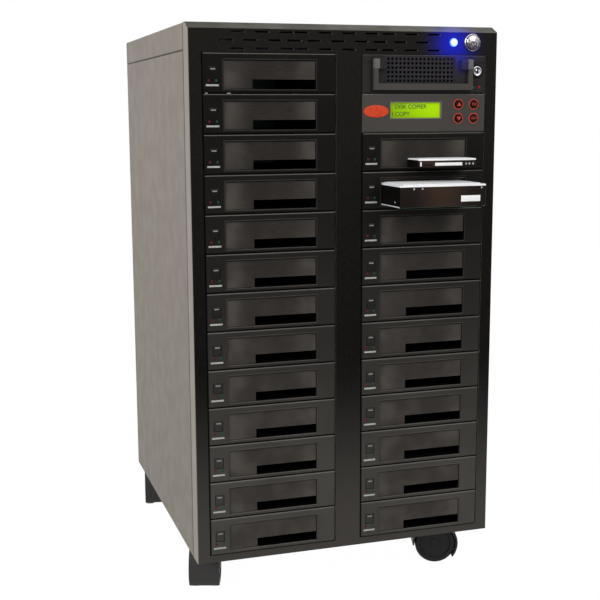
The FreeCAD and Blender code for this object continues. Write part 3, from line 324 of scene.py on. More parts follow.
def moulded(name, top, bottom, edge_highlight, rough=0.5, glow=0.0, level=0.05, shaded=False):
    """Moulded plastic, with painted light from one shade at the top rows to one at the floor.

    Faces that look up get a painted highlight along the edges of each piece.  A shaded one gets
    painted shade, black where it reaches into a bay and along the gaps between the racks.
    With a glow, it carries the blue lamp's painted light.
    """
    finish = Finish(name)
    body = towards_floor(finish, top, bottom)
    # Painted highlight along edges that look up.
    edge = finish.ramp(finish.facing("Z"), 0.3, 0.8)
    body = finish.tint(edge, body, paint(*edge_highlight))
    if shaded:
        # Painted shade: under each row of bezels, at each bezel's sides and deep in the bays.
        row = finish.maths("FRACT", (finish.along("Z") - ROWS_LOW) * (1 / ROW_PITCH), 0.0)
        under = finish.ramp(row, ROW_SHADE, 2 * ROW_SHADE, 0.9, 0.0)
        aside = finish.ramp(abs(abs(finish.along("X")) - COLUMN_X), BEZEL_HALF - 1.1 * MM,
                            BEZEL_HALF - 0.5 * MM, 0.0, 0.85)
        deep = finish.ramp(finish.along("Y"), BAY_LIT, BAY_DARK)
        shade = finish.most(finish.most(under, aside), deep)
        body = finish.tint(shade, body, paint(5, 5, 5))
    pits = finish.noise(PITS)
    patches = finish.ramp(finish.noise(14.0, 3.0), 0.35, 0.7, 0.0, 0.2)
    inputs = {
        "Base Color": finish.tint(patches, body, paint(*[PATCH_SHADE * part for part in top])),
        "Roughness": finish.ramp(pits, 0.3, 0.7, rough - 0.06, rough + 0.08),
        "Specular IOR Level": level,
        "Normal": finish.bump(pits, 0.1, 0.45),
    }
    if glow:
        inputs["Emission Color"] = blue_glow(finish)
        inputs["Emission Strength"] = glow
    return finish.surface(inputs)


def flap_plastic():
    """Warm grey flap with a fine grain drawn sideways, with painted light that makes it paler at
    both ends and changes its shade towards the floor, and a painted highlight where it faces up.
    """
    finish = Finish("flap_plastic")
    body = towards_floor(finish, (33, 29, 26), (66, 62, 58))
    # Painted light: paler towards both ends of the flap.
    from_middle = abs(abs(finish.along("X")) - COLUMN_X)
    ends = finish.ramp(from_middle, 18 * MM, 54 * MM, 0.0, 0.75)
    body = finish.tint(ends, body, paint(84, 79, 74))
    # Painted highlight on faces that look up.
    edge = finish.ramp(finish.facing("Z"), 0.3, 0.8)
    body = finish.tint(edge, body, paint(96, 91, 86))
    drawn = finish.noise(240.0, 3.0, (0.4, 1.0, 9.0))
    body = finish.tint(finish.ramp(drawn, 0.3, 0.7, 0.0, 0.3), body, paint(80, 75, 70))
    patches = finish.ramp(finish.noise(34.0), 0.3, 0.65, 0.0, 0.5)
    return finish.surface({
        "Base Color": finish.tint(patches, body, paint(34, 30, 28)),
        "Roughness": finish.ramp(drawn, 0.3, 0.7, 0.4, 0.54),
        "Specular IOR Level": 0.07,
        "Normal": finish.bump(drawn, 0.12, 0.5),
    })


def metal(name, colour, rough):
    """Bare or plated metal with a little unevenness in its polish."""
    finish = Finish(name)
    wear = finish.noise(120.0, 3.0)
    darker = paint(*[WEAR_SHADE * part for part in colour])
    return finish.surface({
        "Base Color": finish.tint(finish.ramp(wear, 0.3, 0.75), paint(*colour), darker),
        "Metallic": 1.0,
        "Roughness": finish.ramp(wear, 0.3, 0.7, rough, rough + 0.1),
        "Normal": finish.bump(wear, 0.03, 0.4),
    })


def drive_casting():
    """Black-painted casting whose front catches a warm brown light in its middle."""
    finish = Finish("drive_casting")
    from_middle = abs(finish.along("X") - COLUMN_X)
    warm = finish.ramp(from_middle, 4 * MM, 40 * MM, 1.0, 0.15)
    ahead = finish.ramp(finish.facing("Y"), -0.9, -0.4, 1.0, 0.0)
    speckle = finish.noise(PEEL)
    body = finish.tint(warm * ahead, paint(12, 11, 10), paint(52, 38, 30))
    return finish.surface({
        "Base Color": finish.tint(finish.ramp(speckle, 0.4, 0.8, 0.0, 0.3), body,
                                  paint(34, 28, 24)),
        "Roughness": finish.ramp(speckle, 0.3, 0.7, 0.34, 0.46),
        "Specular IOR Level": 0.06,
        "Normal": finish.bump(speckle, 0.05, 0.4),
    })


def chrome():
    """Bright plating with a painted reflection: pale where it faces up, as of a ceiling above,
    and dark where it faces front and down, as of a room in front and below.
    """
    finish = Finish("chrome")
    wear = finish.noise(420.0)
    # Painted reflection: brighter where the surface faces up; the same noise also varies the
    # polish.
    up = finish.facing("Z") + finish.ramp(wear, 0.3, 0.7, -0.18, 0.18)
    bright = finish.ramp(up, -0.25, 0.5)
    return finish.surface({
        "Base Color": finish.tint(bright, paint(70, 66, 76), paint(232, 230, 232)),
        "Metallic": 1.0,
        "Roughness": finish.ramp(wear, 0.3, 0.7, 0.1, 0.18),
        "Normal": finish.bump(wear, 0.02, 0.3),
    })


def satin(name, colour, spots, rough=0.45, scale=700.0, level=0.3):
    """A painted, printed or coloured surface with fine speckles of a second shade."""
    finish = Finish(name)
    speckle = finish.noise(scale)
    return finish.surface({
        "Base Color": finish.tint(finish.ramp(speckle, 0.35, 0.75), paint(*colour),
                                  paint(*spots)),
        "Roughness": finish.ramp(speckle, 0.3, 0.7, rough, rough + 0.1),
        "Specular IOR Level": level,
        "Normal": finish.bump(speckle, 0.05, 0.4),
    })


def lit_display():
    """Back-lit display, brighter towards its right, with its fine rows of dots."""
    finish = Finish("lit_display")
    side = finish.ramp(finish.along("X"), at(WINDOW_LEFT, 0, 0).x, at(WINDOW_RIGHT, 0, 0).x)
    body = finish.tint(side, paint(134, 176, 3), paint(168, 218, 4))
    rows = finish.add(
        "TexWave", {"bands_direction": "Z"},
        {"Vector": finish.place(), "Scale": 330.0, "Distortion": 0.0},
    )
    body = finish.tint(finish.ramp(rows, 0.2, 0.9, 0.0, 0.12), body, paint(96, 128, 8))
    return finish.surface({
        "Base Color": body,
        "Roughness": finish.ramp(rows, 0.2, 0.9, 0.2, 0.26),
        "Specular IOR Level": 0.08,
        "Emission Color": body,
        "Emission Strength": 0.2,
    })


def blue_lamp():
    """Lit blue lamp, white-hot in the middle of its dome."""
    finish = Finish("blue_lamp")
    away = finish.away(finish.place(), LAMP_PLACE - BACK * 3 * MM)
    core = finish.ramp(away, 2.2 * MM, 5.8 * MM, 1.0, 0.0)
    return finish.surface({
        "Base Color": finish.tint(core, paint(20, 40, 255), paint(210, 225, 255)),
        "Roughness": finish.ramp(core, 0.0, 1.0, 0.3, 0.2),
        "Emission Color": finish.tint(core, paint(15, 70, 255), paint(150, 220, 255)),
        "Emission Strength": 1.3,
    })


def board_green():
    """Solder mask over a faint pattern of tracks."""
    finish = Finish("board_green")
    tracks = finish.add(
        "TexBrick", {"offset": 0.5},
        {"Vector": finish.place(), "Scale": 160.0, "Mortar Size": 0.03}, output="Fac",
    )
    return finish.surface({
        "Base Color": finish.tint(tracks, paint(18, 74, 40), paint(40, 112, 62)),
        "Roughness": finish.ramp(finish.noise(300.0), 0.3, 0.7, 0.3, 0.42),
        "Normal": finish.bump(tracks, 0.05, 0.4),
    })


CASE_PAINT = powder_coat_case()
FRONT_PAINT = powder_coat_front()
ZINC = zinc_sheet()
BEZEL = moulded("bezel_plastic", (15, 14, 12), (72, 70, 66), (116, 112, 107), shaded=True)
BUTTON = moulded("rack_button_plastic", (16, 15, 14), (62, 60, 57), (78, 76, 73))
DRAWER = moulded("drawer_plastic", (44, 41, 41), (60, 58, 55), (80, 76, 76), glow=0.5)
RACK = moulded("rack_plastic", (22, 22, 22), (22, 22, 22), (28, 28, 28), shaded=True)
RIM = moulded("door_rim_plastic", (44, 41, 39), (74, 70, 66), (112, 107, 102))
HANDLE = moulded("handle_plastic", (72, 68, 65), (72, 68, 65), (96, 92, 88), rough=0.4,
                 glow=0.3)
PIVOT = moulded("handle_pivot_plastic", (104, 100, 98), (104, 100, 98), (130, 126, 123),
                glow=0.25)
PANEL = moulded("panel_plastic", (71, 67, 64), (60, 59, 57), (112, 110, 107))
CASTER = moulded("caster_plastic", (62, 61, 60), (62, 61, 60), (76, 75, 73), rough=0.42,
                 level=0.12)
WHEEL = moulded("wheel_plastic", (30, 30, 29), (34, 34, 33), (52, 51, 50), rough=0.4,
                level=0.15)
FLAP = flap_plastic()
SUPPLY = satin("supply_paint", (64, 64, 66), (78, 78, 80), 0.45, 600.0, 0.15)
BRASS = metal("blade_brass", (196, 168, 96), 0.3)
GRILLE = satin("grille_paint", (42, 40, 43), (50, 48, 51), 0.42, 500.0, 0.06)
CHROME = chrome()
STEEL = metal("screw_steel", (176, 176, 176), 0.26)
LID = satin("drive_lid", (250, 250, 251), (240, 241, 243), 0.34, 60.0)
CASTING = drive_casting()
RAIL = satin("drive_rail_aluminium", (206, 207, 209), (188, 189, 192), 0.3, 200.0)
LABEL = satin("label_white", (244, 244, 242), (232, 233, 232), 0.5)
PRINT = satin("print_white", (176, 176, 170), (150, 150, 146), 0.6)
# Grey of the bar near the top of each rack button.
BUTTON_BAR_GREY = satin("button_bar_grey", (136, 134, 130), (118, 116, 112), 0.6)
MARK_ORANGE = satin("mark_orange", (196, 74, 50), (176, 62, 42), 0.4, level=0.1)
BADGE_ORANGE = satin("badge_orange", (205, 72, 40), (190, 60, 32), 0.35, 260.0, 0.1)
KEY = satin("key_black", (15, 15, 15), (22, 21, 20), 0.35, level=0.06)
# Black of black parts, also used for painted shade round the rack buttons and in the lock's
# keyway.
BLACK = satin("recess_black", (8, 8, 8), (13, 13, 13), 0.6, level=0.1)
LAMP_RED = satin("lamp_red_unlit", (78, 22, 28), (96, 28, 34), 0.3, level=0.1)
LAMP_GREEN = satin("lamp_green_unlit", (26, 60, 46), (34, 74, 58), 0.3, level=0.1)
LAMP_RED_LIT = satin("lamp_red_lit", (150, 20, 34), (170, 30, 44), 0.3, level=0.1)
LAMP_GREEN_LIT = satin("lamp_green_lit", (24, 92, 66), (30, 110, 84), 0.3, level=0.1)
SURROUND = satin("display_surround", (118, 120, 104), (104, 106, 92), 0.4, level=0.1)
DISPLAY = lit_display()
DISPLAY_INK = satin("display_ink", (58, 84, 6), (48, 72, 4), 0.4)
BLUE = blue_lamp()
BOARD = board_green()

NODE_FINISHES = {
    CASE_PAINT: ("side_panel_left", "side_panel_right", "top_cover"),
    FRONT_PAINT: ("front_panel",),
    ZINC: ("chassis_pan", "bay_walls"),
    SUPPLY: ("power_supply",),
    RACK: ("rack_housings", "fan_frame", "fan_rotor"),
    BOARD: ("circuit_boards",),
}
for finish, names in NODE_FINISHES.items():
    for name in names:
        NODES[name].data.materials.clear()
        NODES[name].data.materials.append(finish)


# ---- forms -----------------------------------------------------------------
def placed(name, data):
    """An object in the scene that holds a mesh, a light or a camera."""
    thing = bpy.data.objects.new(name, data)
    bpy.context.collection.objects.link(thing)
    return thing


def piece(name, form, finish, body, sharp=35):
    """Makes a form into an object that rides on a body."""
    bmesh.ops.recalc_face_normals(form, faces=form.faces)
    mesh = bpy.data.meshes.new(name)
    form.to_mesh(mesh)
    form.free()
    mesh.materials.append(finish)
    mesh.shade_smooth()
    mesh.set_sharp_from_angle(angle=math.radians(sharp))
    thing = placed(name, mesh)
    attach(thing, body)
    return thing


def front_middle(low, high):
    """Middle of the front face of a box."""
    return Vector(((low.x + high.x) / 2, low.y, (low.z + high.z) / 2))


def rounded_block(form, low, high, radius, segments=2):
    """A block between two corners, in metres, with all its edges rounded."""
    size = high - low
    middle = Matrix.Translation((low + high) / 2)
    stretch = Matrix.Diagonal((*size, 1.0))
    made = bmesh.ops.create_cube(form, size=1.0, matrix=middle @ stretch)
    edges = list({edge for vert in made["verts"] for edge in vert.link_edges})
    bmesh.ops.bevel(
        form, geom=edges, offset=radius, segments=segments, profile=0.5, affect="EDGES",
        clamp_overlap=True,
    )


def block(form, origin, low, high, radius, segments=2):
    """A rounded block between two places counted in millimetres from an origin."""
    rounded_block(form, origin + Vector(low) * MM, origin + Vector(high) * MM, radius * MM,
                  segments)


def turned(form, profile, origin, axis, steps=40):
    """A round form: the profile is (along the axis, radius) in millimetres, end to end."""
    turn = axis.to_track_quat("Z", "Y").to_matrix()
    rings = []
    for along, radius in profile:
        ring = []
        for i in range(steps if radius > 0 else 1):
            angle = 2 * math.pi * i / steps
            spot = Vector((radius * math.cos(angle), radius * math.sin(angle), along)) * MM
            ring.append(form.verts.new(origin + turn @ spot))
        rings.append(ring)
    for near, far in zip(rings, rings[1:]):
        for i in range(steps):
            corners = []
            for vert in (near[i % len(near)], near[(i + 1) % len(near)],
                         far[(i + 1) % len(far)], far[i % len(far)]):
                if vert not in corners:
                    corners.append(vert)
            form.faces.new(corners)


def dome(radius, height, start):
    """Profile of a shallow dome that ends on the axis, in millimetres."""
    steps = 6
    turn = math.pi / 2 / steps
    profile = [(start + height * math.sin(turn * i), radius * math.cos(turn * i))
               for i in range(steps)]
    return profile + [(start + height, 0.0)]


def prism(form, outline, offset):
    """A solid from a closed outline of points, drawn along an offset."""
    near = [form.verts.new(point) for point in outline]
    far = [form.verts.new(point + offset) for point in outline]
    form.faces.new(near)
    form.faces.new(far[::-1])
    for i in range(len(outline)):
        form.faces.new((near[i - 1], near[i], far[i], far[i - 1]))


def round_edges(thing, width, segments, angle):
    """Rounds edges that turn by more than an angle in degrees; the width in millimetres."""
    bevel = thing.modifiers.new("edge_rounding", "BEVEL")
    bevel.width = width * MM
    bevel.segments = segments
    bevel.limit_method = "ANGLE"
    bevel.angle_limit = math.radians(angle)


WELD = 0.002 * MM
FLAT = math.radians(1.0)


def cleaned(node):
    """A copy of a CAD node's mesh with its flat faces joined up."""
    form = bmesh.new()
    form.from_mesh(NODES[node].data)
    bmesh.ops.remove_doubles(form, verts=form.verts, dist=WELD)
    bmesh.ops.dissolve_limit(form, angle_limit=FLAT, verts=form.verts, edges=form.edges)
    return form


def softened(node, finish, body, width, segments=2):
    """Stands for a CAD node with its outer and inner edges slightly rounded."""
    thing = piece(node + "_moulding", cleaned(node), finish, body, sharp=40)
    round_edges(thing, width, segments, 30)
    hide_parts(node)


def solid_boxes(node):
    """Lowest and highest corners of each separate solid of a CAD node."""
    form = cleaned(node)
    left = set(form.verts)
    boxes = []
    while left:
        seed = left.pop()
        island = [seed]
        waiting = [seed]
        while waiting:
            for edge in waiting.pop().link_edges:
                for vert in edge.verts:
                    if vert in left:
                        left.remove(vert)
                        island.append(vert)
                        waiting.append(vert)
        low = Vector([min(vert.co[i] for vert in island) for i in range(3)])
        high = Vector([max(vert.co[i] for vert in island) for i in range(3)])
        boxes.append((low, high))
    form.free()
    return boxes


def lettering(name, words, height, middle, finish, body):
    """Flat generic words that face the front, centred on a place."""
    curve = bpy.data.curves.new(name, "FONT")
    curve.body = words
    curve.size = height
    curve.extrude = PRINT_PROUD
    curve.align_x = "CENTER"
    curve.align_y = "CENTER"
    source = placed(name + "_curve", curve)
    bpy.context.view_layer.update()
    seen = source.evaluated_get(bpy.context.evaluated_depsgraph_get())
    mesh = bpy.data.meshes.new_from_object(seen)
    bpy.data.objects.remove(source)
    mesh.transform(Matrix.Translation(middle) @ Matrix.Rotation(math.pi / 2, 4, "X"))
    mesh.materials.clear()
    mesh.materials.append(finish)
    thing = placed(name, mesh)
    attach(thing, body)


# ---- racks -----------------------------------------------------------------
BEZEL_CORNERS = [low for low, _ in solid_boxes("rack_bezels")]
BEZEL_FACE = BEZEL_CORNERS[0].y
# In millimetres, and places from each bezel's lower left front corner.
DOOR_LEFT = 22.2
DOOR_W = 102.6
DOOR_UP = 3.7
DOOR_H = 30.6
RIM_W = 1.1
RIM_PROUD = 0.5
BUTTON_GAP = 0.55
RACK_LAMP_UP = 12.75


def rack_door_rims():
    """Thin raised rim round the door opening of every rack."""
    form = bmesh.new()
    right = DOOR_LEFT + DOOR_W
    top = DOOR_UP + DOOR_H
    sides = (
        (DOOR_LEFT - RIM_W, right + RIM_W, DOOR_UP - RIM_W, DOOR_UP),
        (DOOR_LEFT - RIM_W, right + RIM_W, top, top + RIM_W),
        (DOOR_LEFT - RIM_W, DOOR_LEFT, DOOR_UP, top),
        (right, right + RIM_W, DOOR_UP, top),
    )
    for low in BEZEL_CORNERS:
        for x0, x1, z0, z1 in sides:
            block(form, low, (x0, -RIM_PROUD, z0), (x1, 0.6, z1), 0.3)
    rims = piece("rack_door_rims", form, RIM, "case")


def rack_button_caps():
    """Push button of every rack with painted shade round it as a black frame for its gap, and a
    grey bar near its top.
    """
    caps = bmesh.new()
    marks = bmesh.new()
    shades = bmesh.new()
    for low, high in solid_boxes("rack_buttons"):
        rounded_block(caps, low, high, 0.8 * MM, 3)
        block(marks, front_middle(low, high), (-2.7, -0.16, 2.6), (2.7, 0.04, 4.0), 0.05, 1)
        wide, _, tall = (high - low) / MM
        # Painted shade: a black block round each button on the bezel face, for the shade in its
        # gap.
        block(shades, Vector((low.x, BEZEL_FACE, low.z)), (-BUTTON_GAP, -0.06, -BUTTON_GAP),
              (wide + BUTTON_GAP, 0.3, tall + BUTTON_GAP), 0.05, 1)
    gaps = piece("rack_button_gap_shade", shades, BLACK, "case")
    thing = piece("rack_button_caps", caps, BUTTON, "case")
    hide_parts("rack_buttons")
    bars = piece("rack_button_marks", marks, BUTTON_BAR_GREY, "case")


def rack_lamps(name, right, finish):
    """One small lamp on every rack, at a distance from the bezel's left edge."""
    form = bmesh.new()
    for low in BEZEL_CORNERS:
        centre = low + Vector((right, 0.3, RACK_LAMP_UP)) * MM
        turned(form, dome(1.5, 0.9, 0.0), centre, -BACK, 16)
    lamps = piece(name, form, finish, "case")


def rack_strips():
    """Printed strip under the two lamps of every rack."""
    form = bmesh.new()
    for low in BEZEL_CORNERS:
        block(form, low, (3.3, -0.15, 6.9), (17.3, 0.05, 8.8), 0.05, 1)
    strips = piece("rack_printed_strips", form, PRINT, "case")


def racks():
    softened("rack_bezels", BEZEL, "case", 0.35)
    rack_door_rims()
    rack_button_caps()
    rack_lamps("rack_lamps_red", 6.6, LAMP_RED)
    rack_lamps("rack_lamps_green", 14.7, LAMP_GREEN)
    rack_strips()
    for name in sorted(NODES):
        if name.startswith("flap_"):
            softened(name, FLAP, name, 0.45)
    softened("flaps_held", FLAP, "case", 0.45)


# ---- source drawer ---------------------------------------------------------
HOLE_COLUMNS = 17
HOLE_ROWS = 6
HOLE_PITCH = 4.77 * MM
HOLE_R = 1.5 * MM
HOLE_STEPS = 16
HANDLE_END = 6.4
HANDLE_CAP = 0.25


def cell_edges(start, end, count):
    """Lines between the holes of the plate: its own two edges, and one between each pair."""
    middle = (start + end) / 2
    inner = [middle + HOLE_PITCH * (i - count / 2) for i in range(1, count)]
    return [start, *inner, end]


def perforated_plate():
    """Plate let into the drawer with its rows of round holes."""
    low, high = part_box("source_grille")
    middle = (low + high) / 2
    form = bmesh.new()
    lines_x = cell_edges(low.x, high.x, HOLE_COLUMNS)
    lines_z = cell_edges(low.z, high.z, HOLE_ROWS)
    for i in range(HOLE_COLUMNS):
        for j in range(HOLE_ROWS):
            hole = Vector((middle.x + HOLE_PITCH * (i - (HOLE_COLUMNS - 1) / 2), high.y,
                           middle.z + HOLE_PITCH * (j - (HOLE_ROWS - 1) / 2)))
            rim, edge = [], []
            for k in range(HOLE_STEPS):
                angle = 2 * math.pi * k / HOLE_STEPS
                across, rise = math.cos(angle), math.sin(angle)
                rim.append(form.verts.new(hole + Vector((across, 0, rise)) * HOLE_R))
                square = 1 / max(abs(across), abs(rise))
                far_x = lines_x[i + 1] - hole.x if across > 0 else hole.x - lines_x[i]
                far_z = lines_z[j + 1] - hole.z if rise > 0 else hole.z - lines_z[j]
                edge.append(form.verts.new(
                    hole + Vector((far_x * across * square, 0, far_z * rise * square))
                ))
            for k in range(HOLE_STEPS):
                form.faces.new((rim[k - 1], rim[k], edge[k], edge[k - 1]))
    bmesh.ops.remove_doubles(form, verts=form.verts, dist=0.02 * MM)
    plate = piece("source_grille_plate", form, GRILLE, "source_tray")
    solid = plate.modifiers.new("thickness", "SOLIDIFY")
    solid.thickness = high.y - low.y
    solid.offset = -1.0 if plate.data.polygons[0].normal.y > 0 else 1.0
    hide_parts("source_grille")


def key_lock():
    """Turned lock plug with its keyway, in a black ring."""
    low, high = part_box("source_lock")
    centre = front_middle(low, high)
    radius = (high.z - low.z) / 2 / MM
    form = bmesh.new()
    turned(form, [(-14.0, 0.0), (-14.0, radius), (-1.0, radius), (-0.3, radius - 0.5),
                  (0.0, radius - 1.2), (-0.5, radius - 1.9), (-0.6, 2.2), (-0.35, 1.6),
                  (-0.35, 0.0)], centre, -BACK, 48)
    plug = piece("source_lock_plug", form, CHROME, "source_lock")
    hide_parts("source_lock")
    form = bmesh.new()
    # Painted shade: the keyway is a black block that stands for the shade in its slot.
    block(form, centre, (-0.7, 0.05, -3.1), (0.7, 0.9, 3.1), 0.2)
    keyway = piece("source_lock_keyway", form, BLACK, "source_lock")
    form = bmesh.new()
    face = Vector((centre.x, CORNER.y - 1.0 * MM, centre.z))
    inner, outer = radius + 0.2, 7.7
    turned(form, [(-0.3, inner), (1.1, inner), (1.4, inner + 0.4), (1.3, outer - 0.5),
                  (0.7, outer), (-0.3, outer)], face, -BACK, 48)
    ring = piece("source_lock_ring", form, BLACK, "case")


def drop_handle():
    """The handle with its rounded grip and a block over each of its two pivots."""
    softened("source_handle", HANDLE, "source_handle", 1.1, 3)
    low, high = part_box("source_handle")
    wide, _, tall = (high - low) / MM
    form = bmesh.new()
    for x in (0.0, wide - HANDLE_END):
        block(form, low, (x - HANDLE_CAP, -HANDLE_CAP, tall - 10.6),
              (x + HANDLE_END + HANDLE_CAP, 5.7, tall + HANDLE_CAP), 1.2, 3)
    ends = piece("source_handle_ends", form, PIVOT, "source_handle")


def drawer_lamps():
    for name, x, finish in (("source_lamp_green", 325.5, LAMP_GREEN_LIT),
                            ("source_lamp_red", 333.6, LAMP_RED_LIT)):
        form = bmesh.new()
        turned(form, dome(1.7, 1.1, 0.0), at(x, -0.8, 525.2), -BACK, 20)
        lamp = piece(name, form, finish, "case")


def source_drawer():
    softened("source_frame", DRAWER, "case", 0.4)
    softened("source_tray", DRAWER, "source_tray", 0.4)
    perforated_plate()
    drop_handle()
    key_lock()
    drawer_lamps()


# ---- display panel ---------------------------------------------------------
PANEL_KEYS = (
    ("panel_button_up", "up"),
    ("panel_button_escape", "ESC"),
    ("panel_button_down", "down"),
    ("panel_button_enter", "ENT"),
)
ARROW = ((-2.6, -1.7), (2.6, -1.7), (0.0, 2.4))
WORD_HEIGHT = 4.0 * MM
LINE_HEIGHT = 6.6 * MM


def key_mark(name, mark, centre, body):
    """Arrow or short word printed on a key."""
    front = centre - BACK * 0.1 * MM
    if mark not in ("up", "down"):
        lettering(name, mark, WORD_HEIGHT, front, MARK_ORANGE, body)
        return
    sign = 1 if mark == "up" else -1
    form = bmesh.new()
    prism(form, [front + Vector((x, 0, z * sign)) * MM for x, z in ARROW], BACK * 0.2 * MM)
    piece(name, form, MARK_ORANGE, body)


def panel_keys():
    """Four dished round keys, each with its mark and an orange ring on the panel."""
    for node, mark in PANEL_KEYS:
        low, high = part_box(node)
        centre = front_middle(low, high)
        radius = (high.x - low.x) / 2 / MM
        form = bmesh.new()
        turned(form, [(-7.0, 0.0), (-7.0, radius), (-0.9, radius), (-0.3, radius - 0.3),
                      (0.0, radius - 1.0), (-0.15, 2.0), (-0.2, 0.0)], centre, -BACK)
        key = piece(node + "_cap", form, KEY, node)
        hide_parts(node)
        key_mark(node + "_mark", mark, centre, node)
        form = bmesh.new()
        face = Vector((centre.x, CORNER.y - 1.5 * MM, centre.z))
        inner, outer = radius + 0.3, radius + 1.4
        turned(form, [(-0.2, inner), (0.25, inner), (0.35, inner + 0.3), (0.35, outer - 0.3),
                      (0.2, outer), (-0.2, outer)], face, -BACK)
        ring = piece(node + "_ring", form, MARK_ORANGE, "case")


def display():
    """Back-lit window behind a thin grey surround, with two lines on it."""
    form = bmesh.new()
    block(form, CORNER, (WINDOW_LEFT, 0.4, 491.2), (WINDOW_RIGHT, 2.0, 508.3), 0.2)
    window = piece("display_window", form, DISPLAY, "case")
    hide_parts("indicator_lenses")
    form = bmesh.new()
    for x0, x1, z0, z1 in ((225.4, 287.4, 490.3, 491.3), (225.4, 287.4, 508.2, 509.2),
                           (225.4, 226.4, 490.4, 509.1), (286.4, 287.4, 490.4, 509.1)):
        block(form, CORNER, (x0, -1.9, z0), (x1, 0.6, z1), 0.25)
    surround = piece("display_surround", form, SURROUND, "case")
    for name, words, x, z in (("display_line_upper", "DISK COPIER", 251.0, 503.6),
                              ("display_line_lower", "1.COPY", 238.6, 495.6)):
        lettering(name, words, LINE_HEIGHT, at(x, 0.3, z), DISPLAY_INK, "case")


def badge():
    """Bare oval badge, slightly crowned: a disc of 1 mm stretched to its own size."""
    form = bmesh.new()
    turned(form, [(0.0, 1.0), (0.9, 1.0), (1.15, 0.92), (1.3, 0.6), (1.35, 0.0)],
           Vector((0, 0, 0)), UP, 48)
    centre = Matrix.Translation(at(208.9, -1.5, 498.9))
    stand = Matrix.Rotation(math.pi / 2, 4, "X")
    stretch = Matrix.Diagonal((14.9, 6.7, 0.8, 1.0))
    bmesh.ops.transform(form, matrix=centre @ stand @ stretch, verts=form.verts)
    thing = piece("panel_badge", form, BADGE_ORANGE, "case")


def display_panel():
    softened("control_panel", PANEL, "case", 0.4)
    display()
    badge()
    panel_keys()


# ---- top strip -------------------------------------------------------------
def power_button():
    """Polished domed button in its stepped ring."""
    low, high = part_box("power_button")
    centre = front_middle(low, high)
    radius = (high.x - low.x) / 2 / MM
    back = (low.y - high.y) / MM
    form = bmesh.new()
    turned(form, [(back, 0.0), (back, radius), (-1.9, radius)]
           + dome(radius - 0.1, 1.8, -1.8), centre, -BACK, 56)
    cap = piece("power_button_dome", form, CHROME, "power_button")
    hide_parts("power_button")
    low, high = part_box("power_ring")
    inner, outer = radius + 0.2, (high.z - low.z) / 2 / MM
    back = (CORNER.y - high.y) / MM
    form = bmesh.new()
    turned(form, [(back, 0.0), (back, outer - 1.0), (0.0, outer - 1.0), (0.0, outer),
                  (1.0, outer), (1.6, outer - 0.6), (1.6, inner + 0.4), (1.2, inner),
                  (back + 1.2, inner), (back + 1.2, 0.0)],
           Vector((centre.x, CORNER.y, centre.z)), -BACK, 56)
    ring = piece("power_button_ring", form, CHROME, "case")
    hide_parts("power_ring")


def blue_light():
    form = bmesh.new()
    turned(form, [(-7.0, 0.0), (-7.0, 4.0), (0.15, 4.0), (0.15, 4.9)] + dome(4.9, 3.1, 0.4),
           LAMP_PLACE, -BACK, 32)
    lamp = piece("case_lamp", form, BLUE, "case")


# ---- drives ----------------------------------------------------------------
# Places are in millimetres from each drive's lower left front corner.
def drive_screw(form, origin, place, axis, radius):
    """Flat screw head with a recess that points along an axis."""
    turned(form, [(-0.6, radius), (0.15, radius), (0.35, radius - 0.3),
                  (0.35, radius * 0.45), (0.0, radius * 0.3), (0.0, 0.0)],
           origin + Vector(place) * MM, axis, 20)


def large_drive():
    low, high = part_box("drive_large")
    wide, deep, tall = (high - low) / MM
    form = bmesh.new()
    block(form, low, (0, 0, 1.2), (wide, deep, tall - 2.4), 1.2, 3)
    body = piece("large_drive_casting", form, CASTING, "drive_large")
    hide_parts("drive_large")
    form = bmesh.new()
    block(form, low, (0.2, 0.2, tall - 3.4), (wide - 0.2, deep - 0.2, tall - 0.9), 0.7, 3)
    block(form, low, (4.5, 4.0, tall - 1.6), (wide - 4.5, deep - 26.0, tall), 0.5)
    lid = piece("large_drive_lid", form, LID, "drive_large")
    form = bmesh.new()
    turned(form, [(-0.3, 24.0), (0.1, 24.0), (0.1, 22.5), (-0.3, 22.5)],
           low + Vector((wide / 2 - 4.0, 52.0, tall - 0.15)) * MM, UP, 64)
    press = piece("large_drive_pressing", form, RAIL, "drive_large")
    form = bmesh.new()
    for x in (-0.1, wide - 2.4):
        block(form, low, (x, 2.0, 0.9), (x + 2.5, deep - 1.0, 2.5), 0.5)
    rails = piece("large_drive_rails", form, RAIL, "drive_large")
    form = bmesh.new()
    block(form, low, (6.0, 9.0, 0.0), (wide - 6.0, deep - 1.5, 2.8), 0.3)
    board = piece("large_drive_board", form, BOARD, "drive_large")
    form = bmesh.new()
    for y in (14.0, 60.0, 118.0):
        for x, axis in ((0.0, -RIGHT), (wide, RIGHT)):
            drive_screw(form, low, (x, y, 6.3), axis, 1.8)
    for x in (16.0, 26.0, 96.0):
        drive_screw(form, low, (x, -0.02, tall - 4.9), -BACK, 1.0)
    for x in (4.0, 97.6):
        for y in (5.0, 74.0, 141.0):
            drive_screw(form, low, (x, y, tall - 0.95), UP, 1.7)
    screws = piece("large_drive_screws", form, STEEL, "drive_large")
    form = bmesh.new()
    block(form, low, (wide - 30.0, -0.12, 6.4), (wide - 7.0, 0.4, 13.0), 0.1)
    block(form, low, (16.0, 22.0, tall - 0.1), (wide - 16.0, deep - 40.0, tall + 0.06), 0.05)
    label = piece("large_drive_label", form, LABEL, "drive_large")


